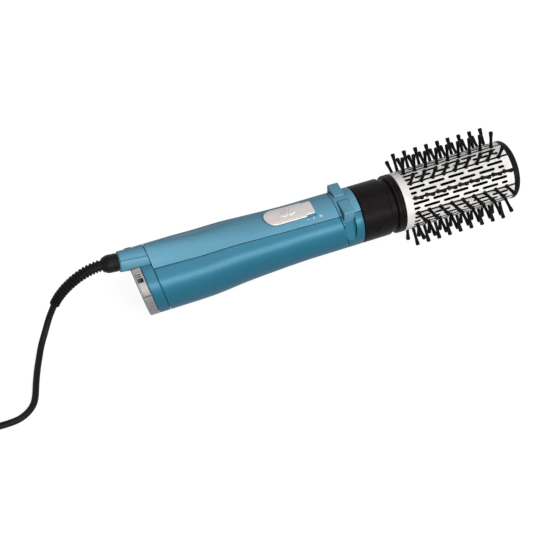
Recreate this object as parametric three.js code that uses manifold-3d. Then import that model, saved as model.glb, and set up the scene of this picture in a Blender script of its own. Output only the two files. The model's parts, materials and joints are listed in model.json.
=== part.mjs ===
// Rotating hot air brush: a two-part handle with its fan, heater and gear drive,
// and a slotted barrel with twelve rows of bristles that the drive turns.
//
// Every piece is drawn in the tool's own frame: X runs along the barrel towards its
// tip, Z points to the control side, and X = 0 is where the coloured handle ends and
// the black air collar starts. The finished tool then lies on its back: the bristles
// carry the front and the housing the rear. Units are millimetres.

import * as THREE from 'three';
import { mergeGeometries, mergeVertices } from 'three/addons/utils/BufferGeometryUtils.js';
import Module from 'manifold-3d';

const wasm = await Module();
wasm.setup();

const { cos, sin, sqrt, PI } = Math;
const degrees = PI / 180;

// ---------------------------------------------------------------- driving dimensions

const gap = 0.3;                 // between pieces that touch or run in each other

// Handle
const handleRearX = -144.3;      // where both shells end
const handleFrontX = -12.65;     // where the shells meet the front ring
const handleLean = 0.17;         // joints between the shells lean back this much per mm of height
const frontRadius = 20.4;
const rearRadius = 23.8;
const flareStartX = -35;
const flareEndX = -130;
const rearDrop = 1.6;            // the rear is lower than the barrel's axis
const dropStartX = -85;
const dropEndX = -115;
const ridgeStartX = -65;         // the spine rises from here towards the cord
const ridgeHeight = 7.4;         // of the spine at the rear, over the round form
const ridgeHalfAngle = 30 * degrees;
const shellWall = 1.8;
const coverFrontAngle = 38.5 * degrees;   // half the cover's width
const coverRearAngle = 24.5 * degrees;

// Front ring, bridge and direction buttons
const ringInnerRadius = 17;
const buttonRearX = -13.7;
const buttonLength = 7.7;
const buttonInnerY = 2.2;
const buttonOuterY = 15.3;
const buttonTopZ = 21.1;
const buttonUnderRadius = 19.4;
const buttonOuterAngle = 50 * degrees;
const pocketRadius = 17.9;       // floor of the recess that the buttons sink into
const pocketAngle = 65 * degrees;
const pocketWidth = 8.4;
const plungerRadius = 1.1;
const plungerY = 7.8;

// Intake end
const collarLength = 7.3;
const bezelLength = 6.5;
const bezelWall = 2.2;
const bezelProud = 0.25;
const tabHeight = 0.6;
const tabStartAngle = 25 * degrees;
const tabEndAngle = 68 * degrees;
const windowSize = 3;
const windowAngle = 46 * degrees;
const grilleThickness = 2;
const grillePitch = 4.8;
const grilleSlot = 3.2;
const filterThickness = 0.8;

// Cord cone and strain relief
const coneLength = 20;
const coneRise = 0.1224;         // height gained per mm towards the cord
const coneBaseZ = 20.7;
const coneBaseRadius = 7.86;
const coneTipRadius = 6.95;
const coneBore = 4.3;
const bushRadius = 6.1;
const bushLength = 10.2;
const sleeveRadius = 3.8;
const sleeveTipRadius = 3.2;
const sleeveRibs = 8;
const sleeveReach = 34.2;        // from the bush to the sleeve's tip, level
const sleeveDrop = 22.4;
const sleeveAside = 0.5;
const cordRadius = 2.2;

// Slide switch
const knobRearX = -65.7;
const knobLength = 34.6;
const knobHalfWidth = 7;
const knobRoundLength = 8;
const knobThickness = 0.95;
const tongueLength = 8.2;        // the knob's front end is narrower
const tongueInset = 1.3;
const knobTravel = 9;
const stemLength = 5;
const stemWidth = 4;
const stemX = -47.5;

// Control board and switches
const boardRearX = -62;
const boardFrontX = -7.5;
const boardWidth = 20.6;
const boardThickness = 1.2;
const boardTopZ = 10.7;
const postRadius = 1.5;
const postXs = [-59, -24];
const postY = 8;
const modeSwitchSize = [22, 10, 5.6];
const directionSwitchSize = [5, 4.4, 2.5];

// Gear drive
const shaftRadius = 2;
const gearModule = 0.7;
const outputTeeth = 18;
const pinionTeeth = 6;
const gearWidth = 5;
const gearRearX = -30.5;
const gearPlay = 0.12;           // added to the centre distance
const bracketX = -35.7;
const bracketThickness = 2;
const bracketTopZ = 9;
const bushWall = 0.9;
const motorRadius = 9.8;
const motorCanRadius = 8.6;
const motorLength = 48;
const gearboxLength = 20;
const pinionShaftRadius = 1.2;
const motorScrewY = 6.2;
const motorScrewRadius = 1.2;

// Fan
const fanAxisZ = -rearDrop;
const ductRadius = 20.7;
const ductWall = 1.2;
const ductRearX = -138;
const ductLength = 30;
const fanRadius = 18.6;
const hubRadius = 7.5;
const hubLength = 9;
const fanBlades = 7;
const fanRearX = -136.5;
const fanMotorRadius = 11;
const fanMotorRearX = -124.5;
const fanMotorLength = 28;
const motorSleeveWall = 1.2;
const statorVanes = 3;

// Heater
const nozzleRadius = 15.1;
const nozzleWall = 0.9;
const nozzleRearX = -4;
const nozzleFrontX = 60;
const heaterRearX = 8;
const heaterLength = 48;
const heaterVaneRadius = 12.2;
const heaterVaneThickness = 1;
const heaterTabLength = 3.5;
const heaterTubeWall = 1.3;
const coilWireRadius = 0.55;
const coilTurns = 5;

// Air collar and brush
const airCollarFrontX = 22;
const airCollarRadius = 20.7;
const airCollarWall = 1.8;
const webThickness = 2.3;
const spigotLength = 6;
const grooveWidth = 4.3;          // the brush's neck shows in it
const neckLength = 11.8;
const baseRingFrontX = 31.6;
const baseRingRadius = 21.6;
const shoulderLength = 5.2;
const barrelRadius = 21.4;
const barrelWall = 0.8;
const barrelFrontX = 114.3;
const capLength = 6.8;
const capWall = 2.2;
const bristleRows = 12;
const bristleLength = 12.2;       // from the barrel's skin to the tips
const bristleTipRadius = barrelRadius + bristleLength;
const bristlesPerRow = 9;
const firstBristleX = 39.9;
const bristlePitch = 8.55;
const bristleRadius = 0.8;
const bristleEndRadius = 1;
const ribWidth = 1.7;            // the strip's rib stands in a slit of the barrel
const ribGap = 0.25;
const slitStartX = 37.6;
const stripWidth = 4;
const stripThickness = 1.2;
const slotWidth = 1.6;
const slotLength = 12.2;
const slotPitch = 15;
const slotStartX = 37.4;
const slotEndX = 109.6;

// Housing screw
const bossX = -90;
const bossRadius = 2.8;
const screwRadius = 1.3;
const screwHeadRadius = 2.9;
const screwHeadHeight = 2.2;

// Cord, coil and plug
const coilCentre = new THREE.Vector2(-272, -37);
const coilMeanRadius = 24.2;
const coilAcross = 3;            // turns side by side
const coilHigh = 4;              // turns on each other
const tailLength = 24;           // from the coil to the plug
const cordBendRadius = 20;       // of the bend on the table before the coil
const plugWidth = 35;
const plugHeight = 17;
const plugLength = 36;
const plugNeckWidth = 8.8;
const plugNeckLength = 11;
const plugShoulderLength = 13;
const pinRadius = 2.4;
const pinLength = 19;
const pinSpacing = 19;

// ---------------------------------------------------------------- solids

// A geometry as one closed mesh: shared corners merged, faces pointing out
function closed(geometry) {
  const bare = geometry.clone();
  for (const name of Object.keys(bare.attributes)) {
    if (name !== 'position') bare.deleteAttribute(name);
  }
  const merged = mergeVertices(bare, 1e-4);
  const position = merged.getAttribute('position');
  const index = merged.getIndex().array;
  const [a, b, c] = [new THREE.Vector3(), new THREE.Vector3(), new THREE.Vector3()];
  const kept = [];
  let volume = 0;
  for (let i = 0; i < index.length; i += 3) {
    const [p, q, r] = [index[i], index[i + 1], index[i + 2]];
    if (p === q || q === r || r === p) continue;
    kept.push(p, q, r);
    a.fromBufferAttribute(position, p);
    b.fromBufferAttribute(position, q);
    c.fromBufferAttribute(position, r);
    volume += a.dot(b.cross(c));
  }
  if (volume < 0) kept.reverse();
  merged.setIndex(kept);
  return merged;
}

function toSolid(geometry) {
  const mesh = closed(geometry);
  return new wasm.Manifold(new wasm.Mesh({
    numProp: 3,
    vertProperties: new Float32Array(mesh.getAttribute('position').array),
    triVerts: new Uint32Array(mesh.getIndex().array),
  }));
}

function toGeometry(solid) {
  const mesh = solid.getMesh();
  const geometry = new THREE.BufferGeometry();
  geometry.setAttribute('position', new THREE.BufferAttribute(mesh.vertProperties, 3));
  geometry.setIndex(new THREE.BufferAttribute(mesh.triVerts, 1));
  return geometry;
}

function cut(geometry, ...tools) {
  return toGeometry(tools.reduce((solid, tool) => solid.subtract(toSolid(tool)), toSolid(geometry)));
}

function join(geometry, ...others) {
  return toGeometry(others.reduce((solid, other) => solid.add(toSolid(other)), toSolid(geometry)));
}

// A solid turned about the X axis from a list of [x, radius]
function turned(profile, segments = 32) {
  const points = profile.map(([x, radius]) => new THREE.Vector2(radius, x));
  const onAxis = points[0].x === 0 && points[points.length - 1].x === 0;
  if (!onAxis) points.push(points[0].clone());
  return new THREE.LatheGeometry(points, segments).rotateZ(-PI / 2);
}

function rod(radius, x0, x1, segments = 16) {
  return new THREE.CylinderGeometry(radius, radius, x1 - x0, segments)
    .rotateZ(-PI / 2).translate((x0 + x1) / 2, 0, 0);
}

function tube(outer, inner, x0, x1, segments = 32) {
  return turned([[x0, inner], [x0, outer], [x1, outer], [x1, inner]], segments);
}

function post(radius, z0, z1, x, y, segments = 12) {
  return new THREE.CylinderGeometry(radius, radius, z1 - z0, segments)
    .rotateX(PI / 2).translate(x, y, (z0 + z1) / 2);
}

function block(x0, x1, y0, y1, z0, z1) {
  return new THREE.BoxGeometry(x1 - x0, y1 - y0, z1 - z0)
    .translate((x0 + x1) / 2, (y0 + y1) / 2, (z0 + z1) / 2);
}

// A shape in the Y-Z plane, extruded along X
function extruded(shape, x0, x1) {
  return new THREE.ExtrudeGeometry(shape, { depth: x1 - x0, bevelEnabled: false, curveSegments: 6 })
    .applyMatrix4(new THREE.Matrix4().makeBasis(
      new THREE.Vector3(0, 1, 0), new THREE.Vector3(0, 0, 1), new THREE.Vector3(1, 0, 0),
    )).translate(x0, 0, 0);
}

// A wall between two skins. outer(u, v) and inner(u, v) give points for u and v in
// 0..1. A wrapped wall closes on itself in v.
function wall(outer, inner, uSteps, vSteps, wrapped = false) {
  const columns = wrapped ? vSteps : vSteps + 1;
  const positions = [];
  const index = [];
  for (const skin of [outer, inner]) {
    for (let i = 0; i <= uSteps; i++) {
      for (let j = 0; j < columns; j++) positions.push(...skin(i / uSteps, j / vSteps).toArray());
    }
  }
  const at = (skin, i, j) => (skin * (uSteps + 1) + i) * columns + (j % columns);
  const quad = (a, b, c, d) => index.push(a, b, c, a, c, d);
  for (let i = 0; i < uSteps; i++) {
    for (let j = 0; j < vSteps; j++) {
      quad(at(0, i, j), at(0, i + 1, j), at(0, i + 1, j + 1), at(0, i, j + 1));
      quad(at(1, i, j), at(1, i, j + 1), at(1, i + 1, j + 1), at(1, i + 1, j));
    }
  }
  for (let j = 0; j < vSteps; j++) {
    quad(at(0, 0, j), at(0, 0, j + 1), at(1, 0, j + 1), at(1, 0, j));
    quad(at(0, uSteps, j), at(1, uSteps, j), at(1, uSteps, j + 1), at(0, uSteps, j + 1));
  }
  if (!wrapped) {
    for (let i = 0; i < uSteps; i++) {
      quad(at(0, i, 0), at(1, i, 0), at(1, i + 1, 0), at(0, i + 1, 0));
      quad(at(0, i, vSteps), at(0, i + 1, vSteps), at(1, i + 1, vSteps), at(1, i, vSteps));
    }
  }
  const geometry = new THREE.BufferGeometry();
  geometry.setAttribute('position', new THREE.Float32BufferAttribute(positions, 3));
  geometry.setIndex(index);
  return geometry;
}

// A round tube along a curve, with a radius for each place s in 0..1 along it
function swept(curve, radiusAt, steps, sides) {
  const frames = curve.computeFrenetFrames(steps, false);
  const ring = (scale) => (u, v) => {
    const place = Math.round(u * steps);
    const angle = v * 2 * PI;
    return curve.getPointAt(u)
      .addScaledVector(frames.normals[place], scale * radiusAt(u) * cos(angle))
      .addScaledVector(frames.binormals[place], scale * radiusAt(u) * sin(angle));
  };
  const skin = ring(1);
  const positions = [];
  const index = [];
  for (let i = 0; i <= steps; i++) {
    for (let j = 0; j < sides; j++) positions.push(...skin(i / steps, j / sides).toArray());
  }
  positions.push(...curve.getPointAt(0).toArray(), ...curve.getPointAt(1).toArray());
  const [start, end] = [(steps + 1) * sides, (steps + 1) * sides + 1];
  for (let j = 0; j < sides; j++) {
    const next = (j + 1) % sides;
    for (let i = 0; i < steps; i++) {
      const [a, b] = [i * sides + j, i * sides + next];
      index.push(a, b, b + sides, a, b + sides, a + sides);
    }
    index.push(start, next, j, end, steps * sides + j, steps * sides + next);
  }
  const geometry = new THREE.BufferGeometry();
  geometry.setAttribute('position', new THREE.Float32BufferAttribute(positions, 3));
  geometry.setIndex(index);
  return geometry;
}

// ---------------------------------------------------------------- the handle's form

const mix = THREE.MathUtils.lerp;
const ease = (from, to, x) => THREE.MathUtils.smoothstep((x - from) / (to - from), 0, 1);

const formRadius = (x) => mix(frontRadius, rearRadius, ease(flareStartX, flareEndX, x));
const formCentreZ = (x) => -rearDrop * ease(dropStartX, dropEndX, x);
const formLean = (x) => handleLean * Math.min(1, x / handleFrontX);

function ridge(x, angle) {
  const along = Math.max(0, (x - ridgeStartX) / (handleRearX - ridgeStartX));
  const across = Math.min(1, Math.abs(angle) / ridgeHalfAngle);
  return ridgeHeight * along ** 1.6 * cos(across * PI / 2) ** 2;
}

// The point of the handle's skin at a station x and an angle from the control side,
// moved out by offset
function formPoint(x, angle, offset, withRidge = true) {
  const radius = formRadius(x) + (withRidge ? ridge(x, angle) : 0) + offset;
  const z = formCentreZ(x) + radius * cos(angle);
  return new THREE.Vector3(x - formLean(x) * z, radius * sin(angle), z);
}

function formWall({ x0, x1, from, to, outset = () => 0, inset, xSteps, angleSteps, withRidge, wrapped }) {
  const skin = (offset) => (u, v) => {
    const x = mix(x0, x1, u);
    return formPoint(x, mix(from(x), to(x), v), offset(x), withRidge);
  };
  return wall(skin(outset), skin(() => -inset), xSteps, angleSteps, wrapped);
}

const seamAngle = (x) => mix(coverFrontAngle, coverRearAngle, x / handleRearX);
const seamHalfGap = (x) => gap / 2 / formRadius(x);

// ---------------------------------------------------------------- the scene

const tool = new THREE.Group();
const cordSet = new THREE.Group();

const finishes = {
  blueCover: { color: 0x6a92ab, roughness: 0.35, metalness: 0.5 },
  blueHousing: { color: 0x3a86a6, roughness: 0.35, metalness: 0.5 },
  blackPlastic: { color: 0x1c191b, roughness: 0.45, metalness: 0 },
  bristle: { color: 0x141414, roughness: 0.5, metalness: 0 },
  aluminium: { color: 0xe4e4e2, roughness: 0.35, metalness: 0.9 },
  silver: { color: 0xc8c4c4, roughness: 0.3, metalness: 0.6 },
  chrome: { color: 0xd9d9d9, roughness: 0.08, metalness: 1 },
  steel: { color: 0x9c9ea0, roughness: 0.35, metalness: 1 },
  bronze: { color: 0xa9834f, roughness: 0.45, metalness: 0.9 },
  mica: { color: 0xd8cbb0, roughness: 0.8, metalness: 0 },
  wire: { color: 0x8d8a86, roughness: 0.4, metalness: 0.9 },
  board: { color: 0x2f6b45, roughness: 0.6, metalness: 0 },
  whitePlastic: { color: 0xe6e4dd, roughness: 0.5, metalness: 0 },
  mesh: { color: 0x55585b, roughness: 0.7, metalness: 0.3 },
  rubber: { color: 0x151515, roughness: 0.7, metalness: 0 },
  nickel: { color: 0xc9c6bd, roughness: 0.25, metalness: 1 },
};

function add(name, geometry, finish, parent = tool) {
  const mesh = new THREE.Mesh(closed(geometry), new THREE.MeshStandardMaterial(finishes[finish]));
  mesh.geometry.computeVertexNormals();
  mesh.name = name;
  parent.add(mesh);
  return mesh;
}

// ---------------------------------------------------------------- handle shells

const boardUnderPostsZ = boardTopZ + gap;
const coverPosts = postXs.flatMap((x) => [-1, 1].map((side) => (
  post(postRadius, boardUnderPostsZ, frontRadius - shellWall - 1, x, side * postY)
)));

const knobSlot = block(
  stemX - stemLength / 2 - gap, stemX + stemLength / 2 + knobTravel + gap,
  -stemWidth / 2 - gap, stemWidth / 2 + gap, frontRadius - 5, frontRadius + 5,
);
const bossTopZ = formCentreZ(bossX) + formRadius(bossX) - shellWall / 2;
const bossBottomZ = formCentreZ(bossX) - formRadius(bossX) + shellWall / 2;
const screwBore = post(screwRadius + gap, bossBottomZ + 1, 8, bossX, 0);

add('upper_cover', cut(
  join(
    formWall({
      x0: handleRearX,
      x1: handleFrontX - gap,
      from: (x) => -seamAngle(x) + seamHalfGap(x),
      to: (x) => seamAngle(x) - seamHalfGap(x),
      inset: shellWall,
      xSteps: 8,
      angleSteps: 6,
    }),
    ...coverPosts,
    post(bossRadius, gap / 2, bossTopZ, bossX, 0),
  ),
  knobSlot,
  screwBore,
), 'blueCover');

const screwHeadZ = bossBottomZ + 1.6;
add('lower_housing', cut(
  join(
    formWall({
      x0: handleRearX,
      x1: handleFrontX - gap,
      from: (x) => seamAngle(x) + seamHalfGap(x),
      to: (x) => 2 * PI - seamAngle(x) - seamHalfGap(x),
      inset: shellWall,
      xSteps: 8,
      angleSteps: 14,
    }),
    post(bossRadius + 1, bossBottomZ, bossBottomZ + 6, bossX, 0),
    post(bossRadius, bossBottomZ, -gap / 2, bossX, 0),
  ),
  post(screwHeadRadius + gap, bossBottomZ - 5, screwHeadZ + screwHeadHeight, bossX, 0),
  screwBore,
), 'blueHousing');

add('housing_screw', join(
  post(screwHeadRadius, screwHeadZ, screwHeadZ + screwHeadHeight - gap, bossX, 0, 16),
  post(screwRadius, screwHeadZ + 1, 7, bossX, 0),
), 'steel');

// ---------------------------------------------------------------- front ring and buttons

const buttonFrontX = buttonRearX + buttonLength;
const pocketRearX = buttonRearX - 0.5;
const pocketFrontX = buttonFrontX + 0.5;

// The recess under both buttons: a ring sector, and a scoop on each side below it
function arcShape(inner, outer, from, to) {
  const shape = new THREE.Shape();
  shape.absarc(0, 0, outer, PI / 2 - to, PI / 2 - from, false);
  shape.absarc(0, 0, inner, PI / 2 - from, PI / 2 - to, true);
  shape.closePath();
  return shape;
}

const scoopRadius = sqrt(frontRadius ** 2 - pocketRadius ** 2) + 1.2;
const recesses = [-1, 1].flatMap((side) => {
  const from = Math.asin((buttonInnerY - 0.4) / frontRadius);
  const to = buttonOuterAngle + 3 * degrees;
  const sector = arcShape(pocketRadius, frontRadius + 3, side > 0 ? from : -to, side > 0 ? to : -from);
  const scoop = new THREE.CylinderGeometry(1, 1, 8, 16)
    .rotateX(PI / 2)
    .scale(pocketWidth / 2, scoopRadius, 1)
    .translate((pocketRearX + pocketFrontX) / 2, 0, pocketRadius + 4)
    .rotateX(-side * pocketAngle);
  return [extruded(sector, pocketRearX, pocketFrontX), scoop];
});
const plungerHoles = [-1, 1].map((side) => (
  post(plungerRadius + 0.8, 10, frontRadius, (buttonRearX + buttonFrontX) / 2, side * plungerY)
));

const ringWall = frontRadius - ringInnerRadius;
const bridgeAngle = () => seamAngle(handleFrontX);
const bridgeHalfGap = seamHalfGap(handleFrontX);

add('button_bridge', cut(
  formWall({
    x0: handleFrontX,
    x1: 0,
    from: () => -bridgeAngle() + bridgeHalfGap,
    to: () => bridgeAngle() - bridgeHalfGap,
    inset: ringWall,
    xSteps: 1,
    angleSteps: 8,
  }),
  ...recesses,
  ...plungerHoles,
), 'blueCover');

add('front_ring', cut(
  formWall({
    x0: handleFrontX,
    x1: 0,
    from: () => bridgeAngle() + bridgeHalfGap,
    to: () => 2 * PI - bridgeAngle() - bridgeHalfGap,
    inset: ringWall,
    xSteps: 1,
    angleSteps: 16,
  }),
  ...recesses,
), 'blueHousing');

const directionSwitchTopZ = boardTopZ + gap + directionSwitchSize[2];
for (const [name, side] of [['right_direction_button', -1], ['left_direction_button', 1]]) {
  const inner = Math.asin(buttonInnerY / buttonUnderRadius);
  const shape = new THREE.Shape();
  shape.absarc(0, 0, buttonUnderRadius, PI / 2 - inner, PI / 2 - buttonOuterAngle, true);
  shape.lineTo(buttonOuterY, buttonTopZ - 1.2);
  shape.quadraticCurveTo(buttonOuterY, buttonTopZ, buttonOuterY - 1.2, buttonTopZ);
  shape.lineTo(buttonInnerY + 0.6, buttonTopZ - 0.2);
  shape.lineTo(buttonInnerY, buttonTopZ - 0.7);
  shape.closePath();
  const button = join(
    extruded(shape, buttonRearX, buttonFrontX),
    post(
      plungerRadius, directionSwitchTopZ + 0.7, buttonTopZ - 1.5,
      (buttonRearX + buttonFrontX) / 2, plungerY,
    ),
  );
  if (side < 0) button.scale(1, -1, 1);
  add(name, button, 'blueCover');
}

// ---------------------------------------------------------------- intake end

const collarRearX = handleRearX - gap - collarLength;
const bezelFrontX = collarRearX - gap;
const bezelRearX = bezelFrontX - bezelLength;
const coneFrontX = handleRearX - gap;

// The cone that holds the cord: stations from the cover to the cord bush
const coneCentre = (distance) => {
  const x = coneFrontX - handleLean * coneBaseZ - distance;
  return new THREE.Vector3(x, 0, coneBaseZ + coneRise * distance);
};
function coneSkin(radiusAt, v0 = 0) {
  return (u, v) => {
    const angle = v * 2 * PI + v0;
    const centre = coneCentre(u ** 0.1 * coneLength);
    const radius = radiusAt(u);
    const lean = mix(handleLean, -coneRise, u ** 0.1);
    const z = radius * cos(angle);
    return new THREE.Vector3(centre.x - lean * z, radius * sin(angle), centre.z + z);
  };
}
const coneRadius = (u) => mix(coneBaseRadius, coneTipRadius, u ** 0.1) - (u === 1 ? 0.5 : 0);
add('cord_cone', wall(coneSkin(coneRadius), coneSkin(() => coneBore), 2, 20, true), 'blueHousing');

const coneAxis = new THREE.Vector3(-1, 0, coneRise).normalize();
function alongCone(radius, from, to, segments = 24) {
  const centre = coneCentre(0).addScaledVector(coneAxis, (from + to) / 2);
  return new THREE.CylinderGeometry(radius, radius, to - from, segments)
    .applyQuaternion(new THREE.Quaternion().setFromUnitVectors(new THREE.Vector3(0, 1, 0), coneAxis))
    .translate(...centre.toArray());
}
const coneRoom = alongCone(coneBaseRadius + gap, -12, coneLength + 12);

const turn = { from: () => 0, to: () => 2 * PI, withRidge: false, wrapped: true };
add('intake_collar', cut(
  formWall({
    ...turn, x0: handleRearX - gap, x1: collarRearX, inset: shellWall, xSteps: 1, angleSteps: 28,
  }),
  coneRoom,
), 'blueHousing');

const tabs = [-1, 1].map((side) => formWall({
  x0: bezelFrontX - 0.4,
  x1: bezelRearX + 1.2,
  from: () => side * tabStartAngle,
  to: () => side * tabEndAngle,
  outset: () => bezelProud + tabHeight,
  inset: 0.6,
  xSteps: 1,
  angleSteps: 4,
  withRidge: false,
}));
const windows = [-1, 1].map((side) => {
  const middle = formPoint((bezelFrontX + bezelRearX) / 2 + 0.6, side * windowAngle, 0, false);
  return new THREE.BoxGeometry(windowSize, windowSize, 3)
    .rotateX(-side * windowAngle).translate(...middle.toArray());
});
add('chrome_bezel', cut(
  join(
    formWall({
      ...turn,
      x0: bezelFrontX,
      x1: bezelRearX,
      outset: (x) => bezelProud - (x < bezelRearX + 0.5 ? 0.8 : 0),
      inset: bezelWall,
      xSteps: 3,
      angleSteps: 28,
    }),
    ...tabs,
  ),
  ...windows,
  coneRoom,
), 'chrome');

// A leaning disc inside the bezel, between two stations
function formDisc(x0, x1, radius) {
  const rim = (x) => (u, v) => {
    const z = formCentreZ(x) + u * radius * cos(2 * PI * v);
    return new THREE.Vector3(x - handleLean * z, u * radius * sin(2 * PI * v), z);
  };
  return wall(rim(x1), rim(x0), 1, 28, true);
}
const intakeRadius = formRadius(bezelFrontX) - bezelWall - gap;
const grilleFrontX = bezelFrontX - filterThickness - 2 * gap;
const grilleSlots = [];
for (let z = -rearDrop - intakeRadius + 3.4; z < coneBaseZ - coneBaseRadius - 3; z += grillePitch) {
  const half = sqrt(Math.max(0, (intakeRadius - 1.8) ** 2 - (z + rearDrop) ** 2));
  if (half < 4) continue;
  const x = grilleFrontX - handleLean * z;
  for (const [y0, y1] of [[-half, -0.8], [0.8, half]]) {
    grilleSlots.push(block(x - 4, x + 3, y0, y1, z - grilleSlot / 2, z + grilleSlot / 2));
  }
}
add('intake_grille', cut(
  formDisc(grilleFrontX, grilleFrontX - grilleThickness, intakeRadius),
  coneRoom,
  mergeGeometries(grilleSlots),
), 'blackPlastic');
add('intake_filter', cut(
  formDisc(bezelFrontX - gap, bezelFrontX - gap - filterThickness, intakeRadius),
  coneRoom,
), 'mesh');

// ---------------------------------------------------------------- slide switch

// Stations along the knob: the rounded end, the shoulders of the tongue and its front
const knobStations = [10, 28, 48, 68, 90].map((angle) => (
  knobRearX + knobRoundLength * (1 - cos(angle * degrees))
));
const tongueX = knobRearX + knobLength - tongueLength;
knobStations.push((knobStations.at(-1) + tongueX) / 2, tongueX - 0.1, tongueX, knobRearX + knobLength);
const knobHalfWidthAt = (x) => {
  const back = Math.max(0, (knobRearX + knobRoundLength - x) / knobRoundLength);
  return knobHalfWidth * sqrt(1 - back ** 2) - (x >= tongueX ? tongueInset : 0);
};
const knobSkin = (offset) => (u, v) => {
  const x = knobStations[Math.round(u * (knobStations.length - 1))];
  const reach = knobHalfWidthAt(x) / (frontRadius + knobThickness);
  const angle = mix(-reach, reach, v);
  const radius = formRadius(x) + ridge(x, angle) + offset;
  return new THREE.Vector3(x, radius * sin(angle), radius * cos(angle));
};
add('slide_switch_knob', join(
  wall(
    knobSkin(gap + 0.05 + knobThickness), knobSkin(gap + 0.05), knobStations.length - 1, 6,
  ),
  block(
    stemX - stemLength / 2, stemX + stemLength / 2, -stemWidth / 2, stemWidth / 2,
    boardTopZ + gap + modeSwitchSize[2] - 1.8, frontRadius + 1,
  ),
), 'silver');

const modeSwitchX = stemX + knobTravel / 2;
const modeSwitchZ = boardTopZ + gap;
add('mode_switch', cut(
  block(
    modeSwitchX - modeSwitchSize[0] / 2, modeSwitchX + modeSwitchSize[0] / 2,
    -modeSwitchSize[1] / 2, modeSwitchSize[1] / 2, modeSwitchZ, modeSwitchZ + modeSwitchSize[2],
  ),
  block(
    stemX - stemLength / 2 - gap, stemX + stemLength / 2 + knobTravel + gap,
    -stemWidth / 2 - gap, stemWidth / 2 + gap,
    modeSwitchZ + modeSwitchSize[2] - 2.3, modeSwitchZ + modeSwitchSize[2] + 5,
  ),
), 'blackPlastic');

add('control_board', block(
  boardRearX, boardFrontX, -boardWidth / 2, boardWidth / 2, boardTopZ - boardThickness, boardTopZ,
), 'board');

for (const [name, side] of [['right_direction_switch', -1], ['left_direction_switch', 1]]) {
  const x = (buttonRearX + buttonFrontX) / 2;
  const [length, width, height] = directionSwitchSize;
  const y = side * (plungerY - 1);
  add(name, block(
    x - length / 2, x + length / 2, y - width / 2, y + width / 2,
    boardTopZ + gap, boardTopZ + gap + height,
  ), 'blackPlastic');
}

// ---------------------------------------------------------------- gear drive

const outputRadius = outputTeeth * gearModule / 2;
const pinionRadius = pinionTeeth * gearModule / 2;
const pinionZ = -(outputRadius + pinionRadius + gearPlay);
const bushRadiusOuter = shaftRadius + gap + bushWall;
const bracketFrontX = bracketX + bracketThickness;
const bracketRadius = frontRadius - shellWall - gap;

// A spur wheel's outline; a tooth or a space points along +Z
function gearShape(teeth, bore, toothOnTop) {
  const pitch = 2 * PI / teeth;
  const radius = teeth * gearModule / 2;
  const [root, tip] = [radius - 1.2 * gearModule, radius + 0.9 * gearModule];
  const corners = [];
  for (let tooth = 0; tooth < teeth; tooth++) {
    const middle = PI / 2 + (tooth + (toothOnTop ? 0 : 0.5)) * pitch;
    const flank = [[root, -0.27], [tip, -0.12], [tip, 0.12], [root, 0.27]];
    for (const [r, share] of flank) {
      const angle = middle + share * pitch;
      corners.push(new THREE.Vector2(r * cos(angle), r * sin(angle)));
    }
  }
  const shape = new THREE.Shape(corners);
  if (bore) shape.holes.push(new THREE.Path().absarc(0, 0, bore, 0, 2 * PI, true));
  return shape;
}

add('output_gear', extruded(
  gearShape(outputTeeth, shaftRadius + gap, false), gearRearX, gearRearX + gearWidth,
).rotateX(PI), 'bronze');
add('drive_pinion', join(
  extruded(gearShape(pinionTeeth, 0, true), gearRearX, gearRearX + gearWidth),
  rod(pinionShaftRadius, bracketX - 4, gearRearX + 1),
).translate(0, 0, pinionZ), 'steel');
add('drive_shaft', rod(shaftRadius, bracketX + 0.1, barrelFrontX + 0.2, 16), 'steel');
add('rear_bush', tube(
  bushRadiusOuter, shaftRadius + gap, bracketX, bracketFrontX + 0.6, 14,
), 'bronze');

const motorFrontX = bracketX - gap;
const motorRearX = motorFrontX - motorLength;
const gearboxRearX = motorFrontX - gearboxLength;
add('gear_motor', turned([
  [motorRearX, 0],
  [motorRearX, 3.5],
  [motorRearX + 1.5, 3.5],
  [motorRearX + 1.5, motorCanRadius - 0.8],
  [motorRearX + 2.3, motorCanRadius],
  [gearboxRearX, motorCanRadius],
  [gearboxRearX, motorRadius],
  [motorFrontX, motorRadius],
  [motorFrontX, pinionShaftRadius + gap],
  [motorFrontX - 5, pinionShaftRadius + gap],
  [motorFrontX - 5, 0],
], 16).translate(0, 0, pinionZ), 'steel');

const airHoles = [-125, -75, 75, 125].map((angle) => (
  rod(3.4, bracketX - 3, bracketFrontX + 3, 8).translate(0, 0, 13.4).rotateX(angle * degrees)
));
add('gear_bracket', cut(
  rod(bracketRadius, bracketX, bracketFrontX, 24),
  block(
    bracketX - 3, bracketFrontX + 3, -bracketRadius - 1, bracketRadius + 1,
    bracketTopZ, bracketRadius + 1,
  ),
  rod(bushRadiusOuter + gap, bracketX - 3, bracketFrontX + 3, 14),
  rod(pinionShaftRadius + 0.6, bracketX - 3, bracketFrontX + 3, 8).translate(0, 0, pinionZ),
  ...[-1, 1].map((side) => (
    rod(motorScrewRadius + gap, bracketX - 3, bracketFrontX + 3, 8)
      .translate(0, side * motorScrewY, pinionZ)
  )),
  ...airHoles,
), 'whitePlastic');
for (const [name, side] of [['right_motor_screw', -1], ['left_motor_screw', 1]]) {
  add(name, join(
    rod(motorScrewRadius, bracketX + gap, bracketFrontX + 1, 8),
    rod(motorScrewRadius * 1.9, bracketFrontX + gap, bracketFrontX + 2, 12),
  ).translate(0, side * motorScrewY, pinionZ), 'steel');
}

// ---------------------------------------------------------------- fan

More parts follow.
